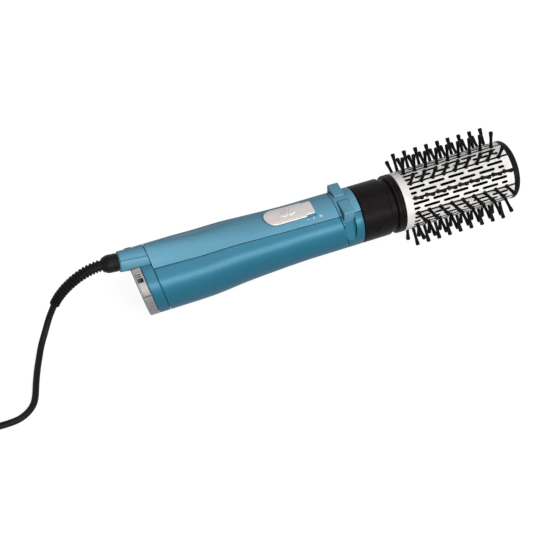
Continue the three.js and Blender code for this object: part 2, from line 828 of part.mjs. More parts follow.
const ductFrontX = ductRearX + ductLength;
const sleeveInner = fanMotorRadius + gap;
const vanes = [];
for (let vane = 0; vane < statorVanes; vane++) {
  vanes.push(
    block(fanMotorRearX + 1, ductFrontX - 1, -0.6, 0.6, sleeveInner + 0.6, ductRadius - 0.5)
      .rotateX(vane * 2 * PI / statorVanes),
  );
}
add('fan_duct', join(
  tube(ductRadius, ductRadius - ductWall, ductRearX, ductFrontX, 24),
  tube(sleeveInner + motorSleeveWall, sleeveInner, fanMotorRearX, ductFrontX, 16),
  ...vanes,
).translate(0, 0, fanAxisZ), 'whitePlastic');

const fanMotorFrontX = fanMotorRearX + fanMotorLength;
const fanShaftRadius = 1;
add('fan_motor', turned([
  [fanMotorRearX + 6, 0],
  [fanMotorRearX + 6, fanShaftRadius + gap],
  [fanMotorRearX - 1.5, fanShaftRadius + gap],
  [fanMotorRearX - 1.5, 3.5],
  [fanMotorRearX, 3.5],
  [fanMotorRearX, fanMotorRadius],
  [fanMotorFrontX - 2, fanMotorRadius],
  [fanMotorFrontX - 2, fanMotorRadius - 1.5],
  [fanMotorFrontX, fanMotorRadius - 1.5],
  [fanMotorFrontX, 0],
], 16).translate(0, 0, fanAxisZ), 'steel');

const fanFrontX = fanRearX + hubLength;
add('fan_shaft', rod(fanShaftRadius, fanRearX + 2.6, fanMotorRearX + 5.5, 12)
  .translate(0, 0, fanAxisZ), 'steel');
const blades = [];
for (let blade = 0; blade < fanBlades; blade++) {
  const skin = (side) => (u, v) => {
    const radius = mix(hubRadius - 0.7, fanRadius, u);
    const angle = (v - 0.5) * 9 / radius + side * 0.5 / radius;
    return new THREE.Vector3(mix(fanRearX + 0.8, fanFrontX - 1, v), radius * sin(angle), radius * cos(angle));
  };
  blades.push(wall(skin(1), skin(-1), 1, 2).rotateX(blade * 2 * PI / fanBlades));
}
add('fan_impeller', join(
  turned([
    [fanRearX, 0],
    [fanRearX + 1, hubRadius - 2.5],
    [fanRearX + 2.5, hubRadius],
    [fanFrontX, hubRadius],
    [fanFrontX, fanShaftRadius + gap],
    [fanRearX + 2.2, fanShaftRadius + gap],
    [fanRearX + 2.2, 0],
  ], 14),
  ...blades,
).translate(0, 0, fanAxisZ), 'whitePlastic');

// ---------------------------------------------------------------- air collar and heater

const spigotOuter = ringInnerRadius - gap;
const nozzleSeat = nozzleRadius + gap;
const collarInner = airCollarRadius - airCollarWall;
add('air_collar', turned([
  [-spigotLength, nozzleSeat],
  [-spigotLength, spigotOuter],
  [gap, spigotOuter],
  [gap, airCollarRadius - 0.7],
  [gap + 0.7, airCollarRadius],
  [airCollarFrontX - 0.7, airCollarRadius],
  [airCollarFrontX, airCollarRadius - 0.7],
  [airCollarFrontX, collarInner],
  [gap + webThickness, collarInner],
  [gap + webThickness, nozzleSeat],
], 28), 'blackPlastic');

add('nozzle_tube', tube(nozzleRadius, nozzleRadius - nozzleWall, nozzleRearX, nozzleFrontX, 24), 'steel');

const heaterFrontX = heaterRearX + heaterLength;
const heaterTubeRadius = shaftRadius + 0.9 + heaterTubeWall;
const tabRadius = nozzleRadius - nozzleWall - gap;
const heaterVanes = [0, 1].flatMap((quarter) => [
  block(
    heaterRearX, heaterFrontX, -heaterVaneThickness / 2, heaterVaneThickness / 2,
    -heaterVaneRadius, heaterVaneRadius,
  ),
  ...[heaterRearX, heaterFrontX - heaterTabLength].map((x) => block(
    x, x + heaterTabLength, -heaterVaneThickness / 2, heaterVaneThickness / 2, -tabRadius, tabRadius,
  )),
].map((part) => part.rotateX(quarter * PI / 2)));
add('heater_former', cut(
  join(rod(heaterTubeRadius, heaterRearX, heaterFrontX, 12), ...heaterVanes),
  rod(heaterTubeRadius - heaterTubeWall, heaterRearX - 5, heaterFrontX + 5, 12),
), 'mica');

const coilRadius = heaterVaneRadius + gap + 0.1 + coilWireRadius;
const coilLength = heaterLength - 2 * heaterTabLength - 3;
class Helix extends THREE.Curve {
  getPoint(t, target = new THREE.Vector3()) {
    const angle = t * coilTurns * 2 * PI;
    return target.set(t * coilLength, coilRadius * sin(angle), coilRadius * cos(angle));
  }
}
add('heater_coil', swept(new Helix(), () => coilWireRadius, coilTurns * 8, 5)
  .translate(heaterRearX + heaterTabLength + 1.5, 0, 0), 'wire');

add('thermal_cutout', rod(3.2, heaterRearX - gap - 3, heaterRearX - gap, 16)
  .translate(0, 0, 8.4), 'steel');

// ---------------------------------------------------------------- brush

const neckRadius = collarInner - gap - 0.1;
const neckInner = nozzleSeat + gap + 1.3;
add('running_bush', tube(neckInner - gap, nozzleSeat, 17, 21.5, 24), 'bronze');

const baseRingRearX = airCollarFrontX + grooveWidth;
const shoulderRadius = barrelRadius - barrelWall - gap;
add('brush_base_ring', turned([
  [baseRingRearX - neckLength, neckInner],
  [baseRingRearX - neckLength, neckRadius],
  [baseRingRearX, neckRadius],
  [baseRingRearX, baseRingRadius - 0.5],
  [baseRingRearX + 0.5, baseRingRadius],
  [baseRingFrontX - 0.4, baseRingRadius],
  [baseRingFrontX, baseRingRadius - 0.4],
  [baseRingFrontX, shoulderRadius],
  [baseRingFrontX + shoulderLength, shoulderRadius],
  [baseRingFrontX + shoulderLength, shoulderRadius - 1.2],
  [baseRingFrontX, neckInner],
], 28), 'blackPlastic');

const rowPitch = 2 * PI / bristleRows;
const columnPitch = rowPitch / 3;
const barrelSegments = bristleRows * 3;   // a flat for each slit and each column of slots
const stripRearX = baseRingFrontX + shoulderLength + 0.4;
const capSpigotLength = 4.2;
const stripFrontX = barrelFrontX - capSpigotLength - 0.4;

const bristleXs = Array.from({ length: bristlesPerRow }, (_, place) => firstBristleX + place * bristlePitch);

// Slots of one column: whole ones, or the same shifted by half a pitch with a short
// one at each end
function slotColumn(shift) {
  const slots = [];
  for (let start = slotStartX - shift; start < slotEndX; start += slotPitch) {
    const from = Math.max(start, slotStartX);
    const to = Math.min(start + slotLength, slotEndX);
    if (to - from > 2.5) {
      slots.push(block(from, to, -slotWidth / 2, slotWidth / 2, barrelRadius - 2, barrelRadius + 1));
    }
  }
  return mergeGeometries(slots);
}

const openings = [];
for (let row = 0; row < bristleRows; row++) {
  const angle = (row + 0.5) * rowPitch;
  openings.push(block(
    slitStartX, barrelFrontX + 1, -ribWidth / 2 - ribGap, ribWidth / 2 + ribGap,
    barrelRadius - 2, barrelRadius + 1,
  ).rotateX(angle));
  openings.push(slotColumn(0).rotateX(angle + columnPitch));
  openings.push(slotColumn(slotPitch / 2).rotateX(angle + 2 * columnPitch));
}
add('brush_barrel', cut(
  tube(barrelRadius, barrelRadius - barrelWall, baseRingFrontX + gap, barrelFrontX, barrelSegments),
  mergeGeometries(openings.map(closed)),
), 'aluminium');

const stripTop = barrelRadius - barrelWall - 0.5;
for (let row = 0; row < bristleRows; row++) {
  const angle = (row + 0.5) * rowPitch;
  const bristles = bristleXs.map((x) => (
    new THREE.CylinderGeometry(bristleEndRadius, bristleRadius, bristleTipRadius - barrelRadius + 1, 5)
      .rotateX(PI / 2).translate(x, 0, (bristleTipRadius + barrelRadius - 1) / 2)
  ));
  add(`bristle_strip_${String(row + 1).padStart(2, '0')}`, join(
    block(stripRearX, stripFrontX, -stripWidth / 2, stripWidth / 2, stripTop - stripThickness, stripTop),
    block(slitStartX + ribGap, stripFrontX, -ribWidth / 2, ribWidth / 2, stripTop - 0.5, barrelRadius - 0.2),
    mergeGeometries(bristles.map(closed)),
  ).rotateX(angle), 'bristle');
}

const capRearX = barrelFrontX + gap;
const capFrontX = barrelFrontX + capLength;
add('brush_end_cap', turned([
  [capFrontX, 0],
  [capFrontX - 0.3, barrelRadius * 0.7],
  [capFrontX - 0.9, barrelRadius - 1.6],
  [capFrontX - 2.4, barrelRadius],
  [capRearX, barrelRadius],
  [capRearX, shoulderRadius],
  [barrelFrontX - capSpigotLength, shoulderRadius],
  [barrelFrontX - capSpigotLength, shoulderRadius - 1.5],
  [capFrontX - capWall, shoulderRadius - 1.5],
  [capFrontX - capWall, shaftRadius + 2.2],
  [barrelFrontX - 4, shaftRadius + 2.2],
  [barrelFrontX - 4, shaftRadius + gap],
  [barrelFrontX + 0.5, shaftRadius + gap],
  [barrelFrontX + 0.5, 0],
], 28), 'blackPlastic');

// ---------------------------------------------------------------- rest position

// The tool lies on its back. Two bristle rows at the front and the housing's underside
// at the rear carry it, and the origin is under the middle of its bounding box.
const bristleRest = bristleTipRadius * cos(rowPitch / 2);
const housingRestX = bezelFrontX;
const housingRest = formRadius(housingRestX) + bezelProud - formCentreZ(housingRestX);
const restPitch = Math.atan2(bristleRest - housingRest, firstBristleX - housingRestX);
tool.rotation.y = -restPitch;
tool.updateMatrixWorld(true);
const bounds = new THREE.Box3().setFromObject(tool, true);
const middle = bounds.getCenter(new THREE.Vector3());
tool.position.set(-middle.x, -middle.y, -bounds.min.z);
tool.updateMatrixWorld(true);

// ---------------------------------------------------------------- strain relief, cord and plug

const coneTip = tool.localToWorld(coneCentre(coneLength));
const outward = coneAxis.clone().transformDirection(tool.matrixWorld);
const bushRear = coneTip.clone().addScaledVector(outward, gap + bushLength);
const sleeveTip = bushRear.clone().add(new THREE.Vector3(-sleeveReach, sleeveAside, -sleeveDrop));
const sleeveEndDirection = new THREE.Vector3(-0.66, -0.1, -0.74).normalize();
const sleeveCurve = new THREE.CubicBezierCurve3(
  bushRear.clone().addScaledVector(outward, -1),
  bushRear.clone().addScaledVector(outward, 13),
  sleeveTip.clone().addScaledVector(sleeveEndDirection, -12),
  sleeveTip,
);
const ribSteps = 2 * sleeveRibs + 1;
const sleeveProfile = (u) => {
  const plain = mix(sleeveRadius, sleeveTipRadius, u);
  return Math.round(u * ribSteps) % 2 ? plain : plain - 0.55;
};
const bush = new THREE.CylinderGeometry(bushRadius - 0.4, bushRadius, bushLength, 16)
  .applyQuaternion(new THREE.Quaternion().setFromUnitVectors(new THREE.Vector3(0, 1, 0), outward))
  .translate(...coneTip.clone().addScaledVector(outward, gap + bushLength / 2).toArray());
add('strain_relief', join(bush, swept(sleeveCurve, sleeveProfile, ribSteps, 10)), 'rubber', cordSet);

// The free cord: down from the sleeve, over the table and to the coil
const cordStart = sleeveTip.clone().addScaledVector(sleeveEndDirection, gap);
const coilOuterRadius = coilMeanRadius + (coilAcross / 2) * 2 * cordRadius;
const coilInnerRadius = coilMeanRadius - (coilAcross / 2) * 2 * cordRadius;
const outerTurn = coilOuterRadius - cordRadius;
const coilReach = sqrt((coilOuterRadius + gap) ** 2 - (outerTurn - cordRadius) ** 2);
const tableZ = cordRadius + 0.05;
const joinY = coilCentre.y - outerTurn;
const bendCentre = new THREE.Vector3(-237.6, joinY + cordBendRadius, tableZ);
const bend = [-34, -53, -72, -90].map((angle) => (
  bendCentre.clone().add(new THREE.Vector3(
    cordBendRadius * cos(angle * degrees), cordBendRadius * sin(angle * degrees), 0,
  ))
));
const route = [
  cordStart,
  cordStart.clone().addScaledVector(sleeveEndDirection, 5),
  new THREE.Vector3(-195.9, -2.3, 15.6),
  new THREE.Vector3(-200.6, -6.9, 8.8),
  new THREE.Vector3(-205.2, -13.2, 4.3),
  new THREE.Vector3(-209.1, -21.9, 2.5),
  new THREE.Vector3(-212.5, -31.2, tableZ),
  new THREE.Vector3(-215.6, -41.1, tableZ),
  new THREE.Vector3(-218.4, -51, tableZ),
  ...bend,
  new THREE.Vector3(-247, joinY, tableZ),
  new THREE.Vector3(coilCentre.x + coilReach, joinY, tableZ),
];
const cordCurve = new THREE.CatmullRomCurve3(route, false, 'centripetal');
const cordSection = new THREE.Shape(Array.from({ length: 8 }, (_, corner) => (
  new THREE.Vector2(cordRadius, 0).rotateAround(new THREE.Vector2(), corner * PI / 4)
)));
const cordTube = (path, steps) => new THREE.ExtrudeGeometry(cordSection, { extrudePath: path, steps });
add('power_cord', cordTube(cordCurve, 26), 'rubber', cordSet);

const coilHeight = coilHigh * 2 * cordRadius;
add('cord_coil', new THREE.LatheGeometry([
  new THREE.Vector2(coilInnerRadius, 0.05),
  new THREE.Vector2(coilOuterRadius, 0.05),
  new THREE.Vector2(coilOuterRadius, coilHeight),
  new THREE.Vector2(coilInnerRadius, coilHeight),
  new THREE.Vector2(coilInnerRadius, 0.05),
], 28).rotateX(PI / 2).translate(coilCentre.x, coilCentre.y, 0), 'rubber', cordSet);

// The plug lies beside the coil, with its pins away from it
const tailX = coilCentre.x - outerTurn;
const tailStartY = coilCentre.y + coilReach;
const plugRearY = tailStartY + tailLength;
const plugZ = plugHeight / 2 + 0.05;
const topTurnZ = tableZ + (coilHigh - 1) * 2 * cordRadius;
const tailCurve = new THREE.CatmullRomCurve3([
  new THREE.Vector3(tailX, tailStartY, topTurnZ),
  new THREE.Vector3(tailX, tailStartY + tailLength * 0.2, topTurnZ - 0.5),
  new THREE.Vector3(tailX, tailStartY + tailLength * 0.5, (topTurnZ + plugZ) / 2),
  new THREE.Vector3(tailX, plugRearY - tailLength * 0.2, plugZ + 0.5),
  new THREE.Vector3(tailX, plugRearY - gap, plugZ),
], false, 'centripetal');
add('cord_tail', cordTube(tailCurve, 6), 'rubber', cordSet);

const plugOutline = new THREE.Shape();
const shoulderY = -plugNeckLength - plugShoulderLength;
plugOutline.moveTo(-plugNeckWidth / 2, 0);
plugOutline.lineTo(plugNeckWidth / 2, 0);
plugOutline.lineTo(plugNeckWidth / 2 + 0.8, -plugNeckLength);
plugOutline.quadraticCurveTo(plugWidth / 2, -plugNeckLength - 3, plugWidth / 2, shoulderY);
plugOutline.lineTo(plugWidth / 2 - 0.8, -plugLength);
plugOutline.lineTo(-plugWidth / 2 + 0.8, -plugLength);
plugOutline.lineTo(-plugWidth / 2, shoulderY);
plugOutline.quadraticCurveTo(-plugWidth / 2, -plugNeckLength - 3, -plugNeckWidth / 2 - 0.8, -plugNeckLength);
plugOutline.closePath();
const pinHoles = [-1, 1].map((side) => (
  new THREE.CylinderGeometry(pinRadius + gap, pinRadius + gap, 16, 16)
    .translate(tailX + side * pinSpacing / 2, plugRearY + plugLength, plugZ)
));
add('plug_body', cut(
  new THREE.ExtrudeGeometry(plugOutline, {
    depth: plugHeight - 2, bevelEnabled: true, bevelSize: 1, bevelOffset: -1, bevelThickness: 1,
    bevelSegments: 1, curveSegments: 6,
  }).rotateZ(PI).translate(tailX, plugRearY, 1.05),
  ...pinHoles,
), 'blackPlastic', cordSet);
for (const [name, side] of [['left_plug_pin', -1], ['right_plug_pin', 1]]) {
  const pin = new THREE.CylinderGeometry(pinRadius, pinRadius, pinLength + 6, 16)
    .translate(tailX + side * pinSpacing / 2, plugRearY + plugLength + pinLength / 2 - 3, plugZ);
  add(name, pin, 'nickel', cordSet);
}

const hotAirBrush = new THREE.Group();
hotAirBrush.add(tool, cordSet);

export default hotAirBrush;
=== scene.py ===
import json
import random
from math import asin, copysign, cos, degrees, hypot, pi, radians, sin, sqrt

import bmesh
import bpy
from mathutils import Matrix, Vector


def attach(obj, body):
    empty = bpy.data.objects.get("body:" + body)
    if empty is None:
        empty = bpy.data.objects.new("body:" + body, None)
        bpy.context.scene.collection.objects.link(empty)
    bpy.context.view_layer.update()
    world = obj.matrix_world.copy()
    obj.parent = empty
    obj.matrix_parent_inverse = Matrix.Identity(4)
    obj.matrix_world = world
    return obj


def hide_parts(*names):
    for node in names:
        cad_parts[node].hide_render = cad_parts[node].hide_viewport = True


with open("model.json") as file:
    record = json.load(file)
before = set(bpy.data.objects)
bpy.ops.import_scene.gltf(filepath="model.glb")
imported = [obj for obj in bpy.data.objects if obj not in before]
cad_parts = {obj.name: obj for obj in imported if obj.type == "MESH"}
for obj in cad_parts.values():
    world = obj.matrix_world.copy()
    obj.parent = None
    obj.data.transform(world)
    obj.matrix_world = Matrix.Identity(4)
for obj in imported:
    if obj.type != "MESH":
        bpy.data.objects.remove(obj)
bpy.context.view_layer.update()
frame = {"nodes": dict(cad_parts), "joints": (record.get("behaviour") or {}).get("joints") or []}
print("frame loaded")

millimetre = 0.001
gap = 0.3

# The tool lies on its back. Its own frame, in millimetres, has X along the barrel and Z towards the
# controls, with X = 0 where the coloured handle ends.
spinJoint = next(joint for joint in frame["joints"] if joint["name"] == "brush_spin")
spinAt = 33.0
alongTool = Vector(spinJoint["axis"]).normalized()
acrossTool = Vector((0, 1, 0))
upTool = alongTool.cross(acrossTool)
toolOrigin = Vector(spinJoint["pos_m"]) - alongTool * spinAt * millimetre
toolFrame = Matrix((alongTool, acrossTool, upTool)).transposed()
toolMatrix = Matrix.Translation(toolOrigin) @ (toolFrame * millimetre).to_4x4()
toolInverse = toolMatrix.inverted()
tableMatrix = Matrix.Scale(millimetre, 4)


def addObject(name, data):
    piece = bpy.data.objects.new(name, data)
    bpy.context.scene.collection.objects.link(piece)
    return piece


def pointAlong(piece, place, direction):
    # cameras and lamps look along their own -Z
    piece.location = place
    piece.rotation_mode = "QUATERNION"
    piece.rotation_quaternion = direction.to_track_quat("-Z", "Y")


cameraSettings = dict(
    place=(-0.2344, -0.5143, 0.5975), towards=(0.2428, 0.6299, -0.7377),
    lens=75.9, sensor=36, clip=(0.01, 20),
)
cameraData = bpy.data.cameras.new("camera")
cameraData.lens, cameraData.sensor_width = cameraSettings["lens"], cameraSettings["sensor"]
cameraData.clip_start, cameraData.clip_end = cameraSettings["clip"]
camera = addObject("camera", cameraData)
pointAlong(camera, cameraSettings["place"], Vector(cameraSettings["towards"]))
bpy.context.scene.camera = camera
bpy.context.scene.view_settings.view_transform = "Standard"
print("camera placed")


def linearColour(hexColour):
    values = [int(hexColour[i:i + 2], 16) / 255 for i in (1, 3, 5)]
    linear = [v / 12.92 if v <= 0.04045 else ((v + 0.055) / 1.055) ** 2.4 for v in values]
    return (*linear, 1)


def setInputs(tree, node, inputs):
    # inputs maps a socket to a value, or to (node, output) for a link
    for key, value in inputs.items():
        if isinstance(value, tuple) and isinstance(value[0], bpy.types.Node):
            tree.links.new(value[0].outputs[value[1]], node.inputs[key])
        else:
            node.inputs[key].default_value = value


def addNode(tree, kind, inputs=None, **settings):
    node = tree.nodes.new(kind)
    for key, value in settings.items():
        setattr(node, key, value)
    setInputs(tree, node, inputs or {})
    return node


def startMaterial(name, values):
    material = bpy.data.materials.new(name)
    material.use_nodes = True
    tree = material.node_tree
    shader = tree.nodes["Principled BSDF"]
    setInputs(tree, shader, values)
    return tree, shader, (addNode(tree, "ShaderNodeTexCoord"), "Object")


def perMillimetre(size):
    # scale of a pattern whose features are this many millimetres, in metre coordinates
    return 1000 / size


# Metallic lacquer sprayed on moulded ABS: fine bright flakes under a clear coat, so the
# colour lightens where a lamp is mirrored and falls off quickly towards the underside
def metallicLacquer(name, base, deep, flake, edge, roughness, metallic, sparkle, coat):
    tree, shader, place = startMaterial(name, {
        "Metallic": metallic, "Roughness": roughness,
        "Specular IOR Level": 0.08, "Specular Tint": linearColour(edge),
        "Coat Weight": coat, "Coat Roughness": 0.33, "Coat IOR": 2.4,
    })
    cloud = addNode(tree, "ShaderNodeTexNoise", {"Vector": place, "Scale": perMillimetre(28), "Detail": 2.0})
    tint = addNode(tree, "ShaderNodeMix", {
        "Factor": (cloud, "Fac"), "A": linearColour(base), "B": linearColour(deep),
    }, data_type="RGBA")
    # real flakes are under 0.1 mm; they are drawn at 0.7 mm so that they show
    flakes = addNode(tree, "ShaderNodeTexVoronoi", {"Vector": place, "Scale": perMillimetre(0.7)})
    spark = addNode(tree, "ShaderNodeMapRange", {
        "Value": (flakes, "Distance"), "From Min": 0.0, "From Max": 0.9, "To Min": 0.0, "To Max": sparkle,
    })
    colour = addNode(tree, "ShaderNodeMix", {
        "Factor": (spark, "Result"), "A": (tint, 2), "B": linearColour(flake),
    }, data_type="RGBA")
    peel = addNode(tree, "ShaderNodeTexNoise", {"Vector": place, "Scale": perMillimetre(1.6), "Detail": 1.0})
    bump = addNode(tree, "ShaderNodeBump", {"Height": (peel, "Fac"), "Strength": 0.06, "Distance": 0.0001})
    setInputs(tree, shader, {"Base Color": (colour, 2), "Normal": (bump, "Normal")})


# A fine grain that moves the colour, the dullness and the height of a surface together
def grainedSurface(name, low, high, dull, grain, detail, strength, depth, stretch, values):
    tree, shader, place = startMaterial(name, values)
    along = addNode(tree, "ShaderNodeMapping", {"Vector": place, "Scale": stretch})
    lines = addNode(tree, "ShaderNodeTexNoise", {
        "Vector": (along, "Vector"), "Scale": perMillimetre(grain), "Detail": detail,
    })
    tint = addNode(tree, "ShaderNodeMix", {
        "Factor": (lines, "Fac"), "A": linearColour(low), "B": linearColour(high),
    }, data_type="RGBA")
    rough = addNode(tree, "ShaderNodeMapRange", {
        "Value": (lines, "Fac"), "To Min": dull[0], "To Max": dull[1],
    })
    bump = addNode(tree, "ShaderNodeBump", {
        "Height": (lines, "Fac"), "Strength": strength, "Distance": depth,
    })
    setInputs(tree, shader, {
        "Base Color": (tint, 2), "Roughness": (rough, "Result"), "Normal": (bump, "Normal"),
    })


# Moulded plastic with a spark-eroded grain: even colour, a soft wide sheen, dull flats
def mouldedPlastic(name, colour, lighter, roughness, grain, depth, specular=0.5):
    dull = roughness - 0.06, roughness + 0.08
    values = {"Specular IOR Level": specular}
    grainedSurface(name, colour, lighter, dull, grain, 4.0, 0.25, depth * millimetre, (1, 1, 1), values)


# Metals: a base tint with a drawn, turned or blasted grain, stretched along one axis
def grainedMetal(name, light, dark, roughness, grain, stretch, metallic=1.0, strength=0.1):
    dull = roughness * 0.8, roughness * 1.25
    grainedSurface(name, dark, light, dull, grain, 3.0, strength, 0.00005, stretch, {"Metallic": metallic})


# Woven tape or gauze: crossing threads with painted shade in the darker holes between them, coarser than the
# real ones
def wovenGauze(name, thread, hole, spacing):
    tree, shader, place = startMaterial(name, {"Roughness": 0.75})
    bands = [
        addNode(tree, "ShaderNodeTexWave", {
            "Vector": place, "Scale": perMillimetre(spacing) / 20,
        }, bands_direction=direction)
        for direction in ("Y", "Z")
    ]
    height = (addNode(tree, "ShaderNodeMath", {
        0: (bands[0], "Fac"), 1: (bands[1], "Fac"),
    }, operation="MAXIMUM"), "Value")
    tint = addNode(tree, "ShaderNodeMix", {
        "Factor": height, "A": linearColour(hole), "B": linearColour(thread),
    }, data_type="RGBA")
    bump = addNode(tree, "ShaderNodeBump", {"Height": height, "Strength": 0.6, "Distance": 0.0002})
    setInputs(tree, shader, {"Base Color": (tint, 2), "Normal": (bump, "Normal")})


# satin, a little greyer and lighter than the housing: the housing's blue with painted light from above
metallicLacquer("greyBlueLacquer", "#5a93aa", "#528aa2", "#9abccb", "#7fb2cc", 0.5, 0.08, 0.12, 0.04)
# deeper, with one wide soft highlight along the tool
metallicLacquer("deepBlueLacquer", "#0c627a", "#08566e", "#4f9fb8", "#17708f", 0.4, 0.24, 0.1, 0.13)
mouldedPlastic("satinBlackAbs", "#0b0809", "#120e10", 0.4, 0.5, 0.03, 0.06)  # warm black, soft sheen
mouldedPlastic("blackBristleNylon", "#030303", "#070707", 0.5, 0.6, 0.02, 0.08)  # deep black, thin glint
mouldedPlastic("softBlackPvc", "#060606", "#0d0c0d", 0.45, 0.4, 0.03, 0.12)  # dull, with a long highlight
mouldedPlastic("darkGrillePlastic", "#17181a", "#232427", 0.5, 0.4, 0.03, 0.3)  # dull, in shadow
# painted shade: a near-black for the inside of the barrel, the walls of its slots and the sleeve behind them
mouldedPlastic("darkCoating", "#050506", "#09090a", 0.8, 0.8, 0.02, 0.1)  # no shine inside the barrel
mouldedPlastic("whiteHeatPlastic", "#d9d7cf", "#e6e4dc", 0.5, 0.6, 0.03)  # chalky off-white
mouldedPlastic("pressedMica", "#b9aa86", "#d8cbb0", 0.7, 1.2, 0.05)  # flaky buff board
mouldedPlastic("greenBoardResist", "#1f5c38", "#2c6f47", 0.35, 0.8, 0.02)  # glossy green
# the darker holes between the threads of both weaves are painted shade
wovenGauze("filterGauze", "#3a3d41", "#0c0d0e", 1.1)  # fine grey cross threads over dark holes
wovenGauze("wovenStrap", "#2a2a2c", "#101011", 0.8)  # matt black hook and loop tape
grainedMetal("anodisedBarrel", "#eae7e5", "#dedbd9", 0.5, 0.6, (0.12, 1, 1), 0.03)  # pale, drawn lengthwise
grainedMetal("silverLacquer", "#cbc5c3", "#b6b0ae", 0.4, 0.5, (1, 1, 1), 0.6)  # warm satin silver
grainedMetal("platedChrome", "#dededf", "#cfcfd0", 0.1, 2.5, (1, 1, 1))  # clear mirror in the latch windows
grainedMetal("blastedChrome", "#9c9b9b", "#5c5b5c", 0.5, 0.9, (1, 1, 1), 1.0, 0.8)  # sparkling speckle
grainedMetal("brushedTab", "#8e8b89", "#6b6866", 0.5, 0.8, (0.3, 1, 1), 1.0, 0.4)  # satin, drawn lengthwise
grainedMetal("turnedSteel", "#a9abae", "#8d8f92", 0.34, 0.5, (1, 0.2, 0.2))  # fine rings
grainedMetal("heatBluedSteel", "#2c2b2e", "#1b1a1c", 0.5, 0.6, (0.2, 1, 1))  # near black, oxidised
grainedMetal("sinteredBronze", "#b08a58", "#94703f", 0.45, 0.5, (1, 1, 1))  # matt, open grain
grainedMetal("heatedWire", "#8f8a84", "#6d6760", 0.45, 0.6, (1, 1, 1))  # scaled grey
grainedMetal("nickelPins", "#d3cfc6", "#bfbab0", 0.22, 0.8, (1, 0.2, 1))  # warm bright metal
print("materials made")


def mix(a, b, t):
    return a + (b - a) * t


def ease(start, end, x):
    t = min(1.0, max(0.0, (x - start) / (end - start)))
    return t * t * (3 - 2 * t)


def spread(start, end, steps):
    return [mix(start, end, i / steps) for i in range(steps + 1)]


def fullCircle(steps):
    return [2 * pi * k / steps for k in range(steps)]


def valueAt(setting, x):
    # a setting is a number, or a function of the place along the tool
    return setting(x) if callable(setting) else setting


def roundDrop(distance, radius):
    # how far a rounded edge falls below the flat at this distance from the rim
    if distance >= radius:
        return 0.0
    return radius - sqrt(max(0.0, radius ** 2 - (radius - max(0.0, distance)) ** 2))


def smoothShade(piece, sharpAngle):
    piece.data.shade_smooth()
    piece.data.set_sharp_from_angle(angle=radians(sharpAngle))
    return piece


def makeObject(name, points, faces, finish=None, matrix=toolMatrix, sharpAngle=32):
    mesh = bpy.data.meshes.new(name)
    mesh.from_pydata([tuple(matrix @ Vector(p)) for p in points], [], [tuple(f) for f in faces])
    bm = bmesh.new()
    bm.from_mesh(mesh)
    bmesh.ops.remove_doubles(bm, verts=bm.verts, dist=1e-6)
    bmesh.ops.recalc_face_normals(bm, faces=bm.faces)
    bm.to_mesh(mesh)
    bm.free()
    if finish:
        mesh.materials.append(bpy.data.materials[finish])
    return smoothShade(addObject(name, mesh), sharpAngle)


def applyModifiers(piece, sharpAngle=32):
    graph = bpy.context.evaluated_depsgraph_get()
    mesh = bpy.data.meshes.new_from_object(piece.evaluated_get(graph))
    old = piece.data
    piece.modifiers.clear()
    piece.data = mesh
    mesh.name = old.name
    bpy.data.meshes.remove(old)
    return smoothShade(piece, sharpAngle)


def combine(piece, others, operation="DIFFERENCE", sharpAngle=32):
    # cuts or joins the other solids, which are used up; a bare one gets the piece's own finish
    for other in others:
        if not other.data.materials:
            other.data.materials.append(piece.data.materials[0])
        step = piece.modifiers.new(operation.lower(), "BOOLEAN")
        step.operation, step.solver, step.object = operation, "MANIFOLD", other
    applyModifiers(piece, sharpAngle)
    for other in others:
        mesh = other.data
        bpy.data.objects.remove(other)
        bpy.data.meshes.remove(mesh)
    return piece


def roundEdges(piece, width, angle, segments=2):
    step = piece.modifiers.new("edges", "BEVEL")
    step.width, step.segments = width * millimetre, segments
    step.limit_method, step.angle_limit = "ANGLE", radians(angle)
    step.harden_normals = False
    return applyModifiers(piece)


def gridFaces(rows, columns, start=0, wrapColumns=False, wrapRows=False):
    faces = []
    for i in range(rows if wrapRows else rows - 1):
        for j in range(columns if wrapColumns else columns - 1):
            k, m = (i + 1) % rows, (j + 1) % columns
            faces.append([start + i * columns + j, start + k * columns + j,
                          start + k * columns + m, start + i * columns + m])
    return faces


def shellFaces(rows, columns, wrapped):
    # two skins, one after the other, joined along their open edges
    skin = rows * columns
    edges = [[row * columns + j for j in range(columns)] for row in (0, rows - 1)]
    if wrapped:
        edges = [edge + edge[:1] for edge in edges]
    else:
        edges += [[i * columns + column for i in range(rows)] for column in (0, columns - 1)]
    faces = gridFaces(rows, columns, 0, wrapped) + gridFaces(rows, columns, skin, wrapped)
    return faces + [[a, b, b + skin, a + skin] for edge in edges for a, b in zip(edge, edge[1:])]


def loftFaces(rows, sides, start=0):
    # rings of points joined one to the next and closed at both ends
    last = start + (rows - 1) * sides
    caps = [list(range(first, first + sides)) for first in (start, last)]
    return gridFaces(rows, sides, start, True) + caps


def pushedFaces(count, start=0):
    # an outline and its pushed copy, closed at both ends
    near, far = range(start, start + count), range(start + count, start + 2 * count)
    sides = [[near[i], near[(i + 1) % count], far[(i + 1) % count], far[i]] for i in range(count)]
    return [list(near), list(far)] + sides


def rectangle(x0, x1, y0, y1):
    return [(x0, y0), (x1, y0), (x1, y1), (x0, y1)]


def roundOutline(x, y, halfX, halfY, steps=24):
    return [(x + halfX * cos(t), y + halfY * sin(t)) for t in fullCircle(steps)]


def turnAboutX(point, turn):
    x, y, z = point
    c, s = cos(turn), sin(turn)
    return (x, y * c - z * s, y * s + z * c)


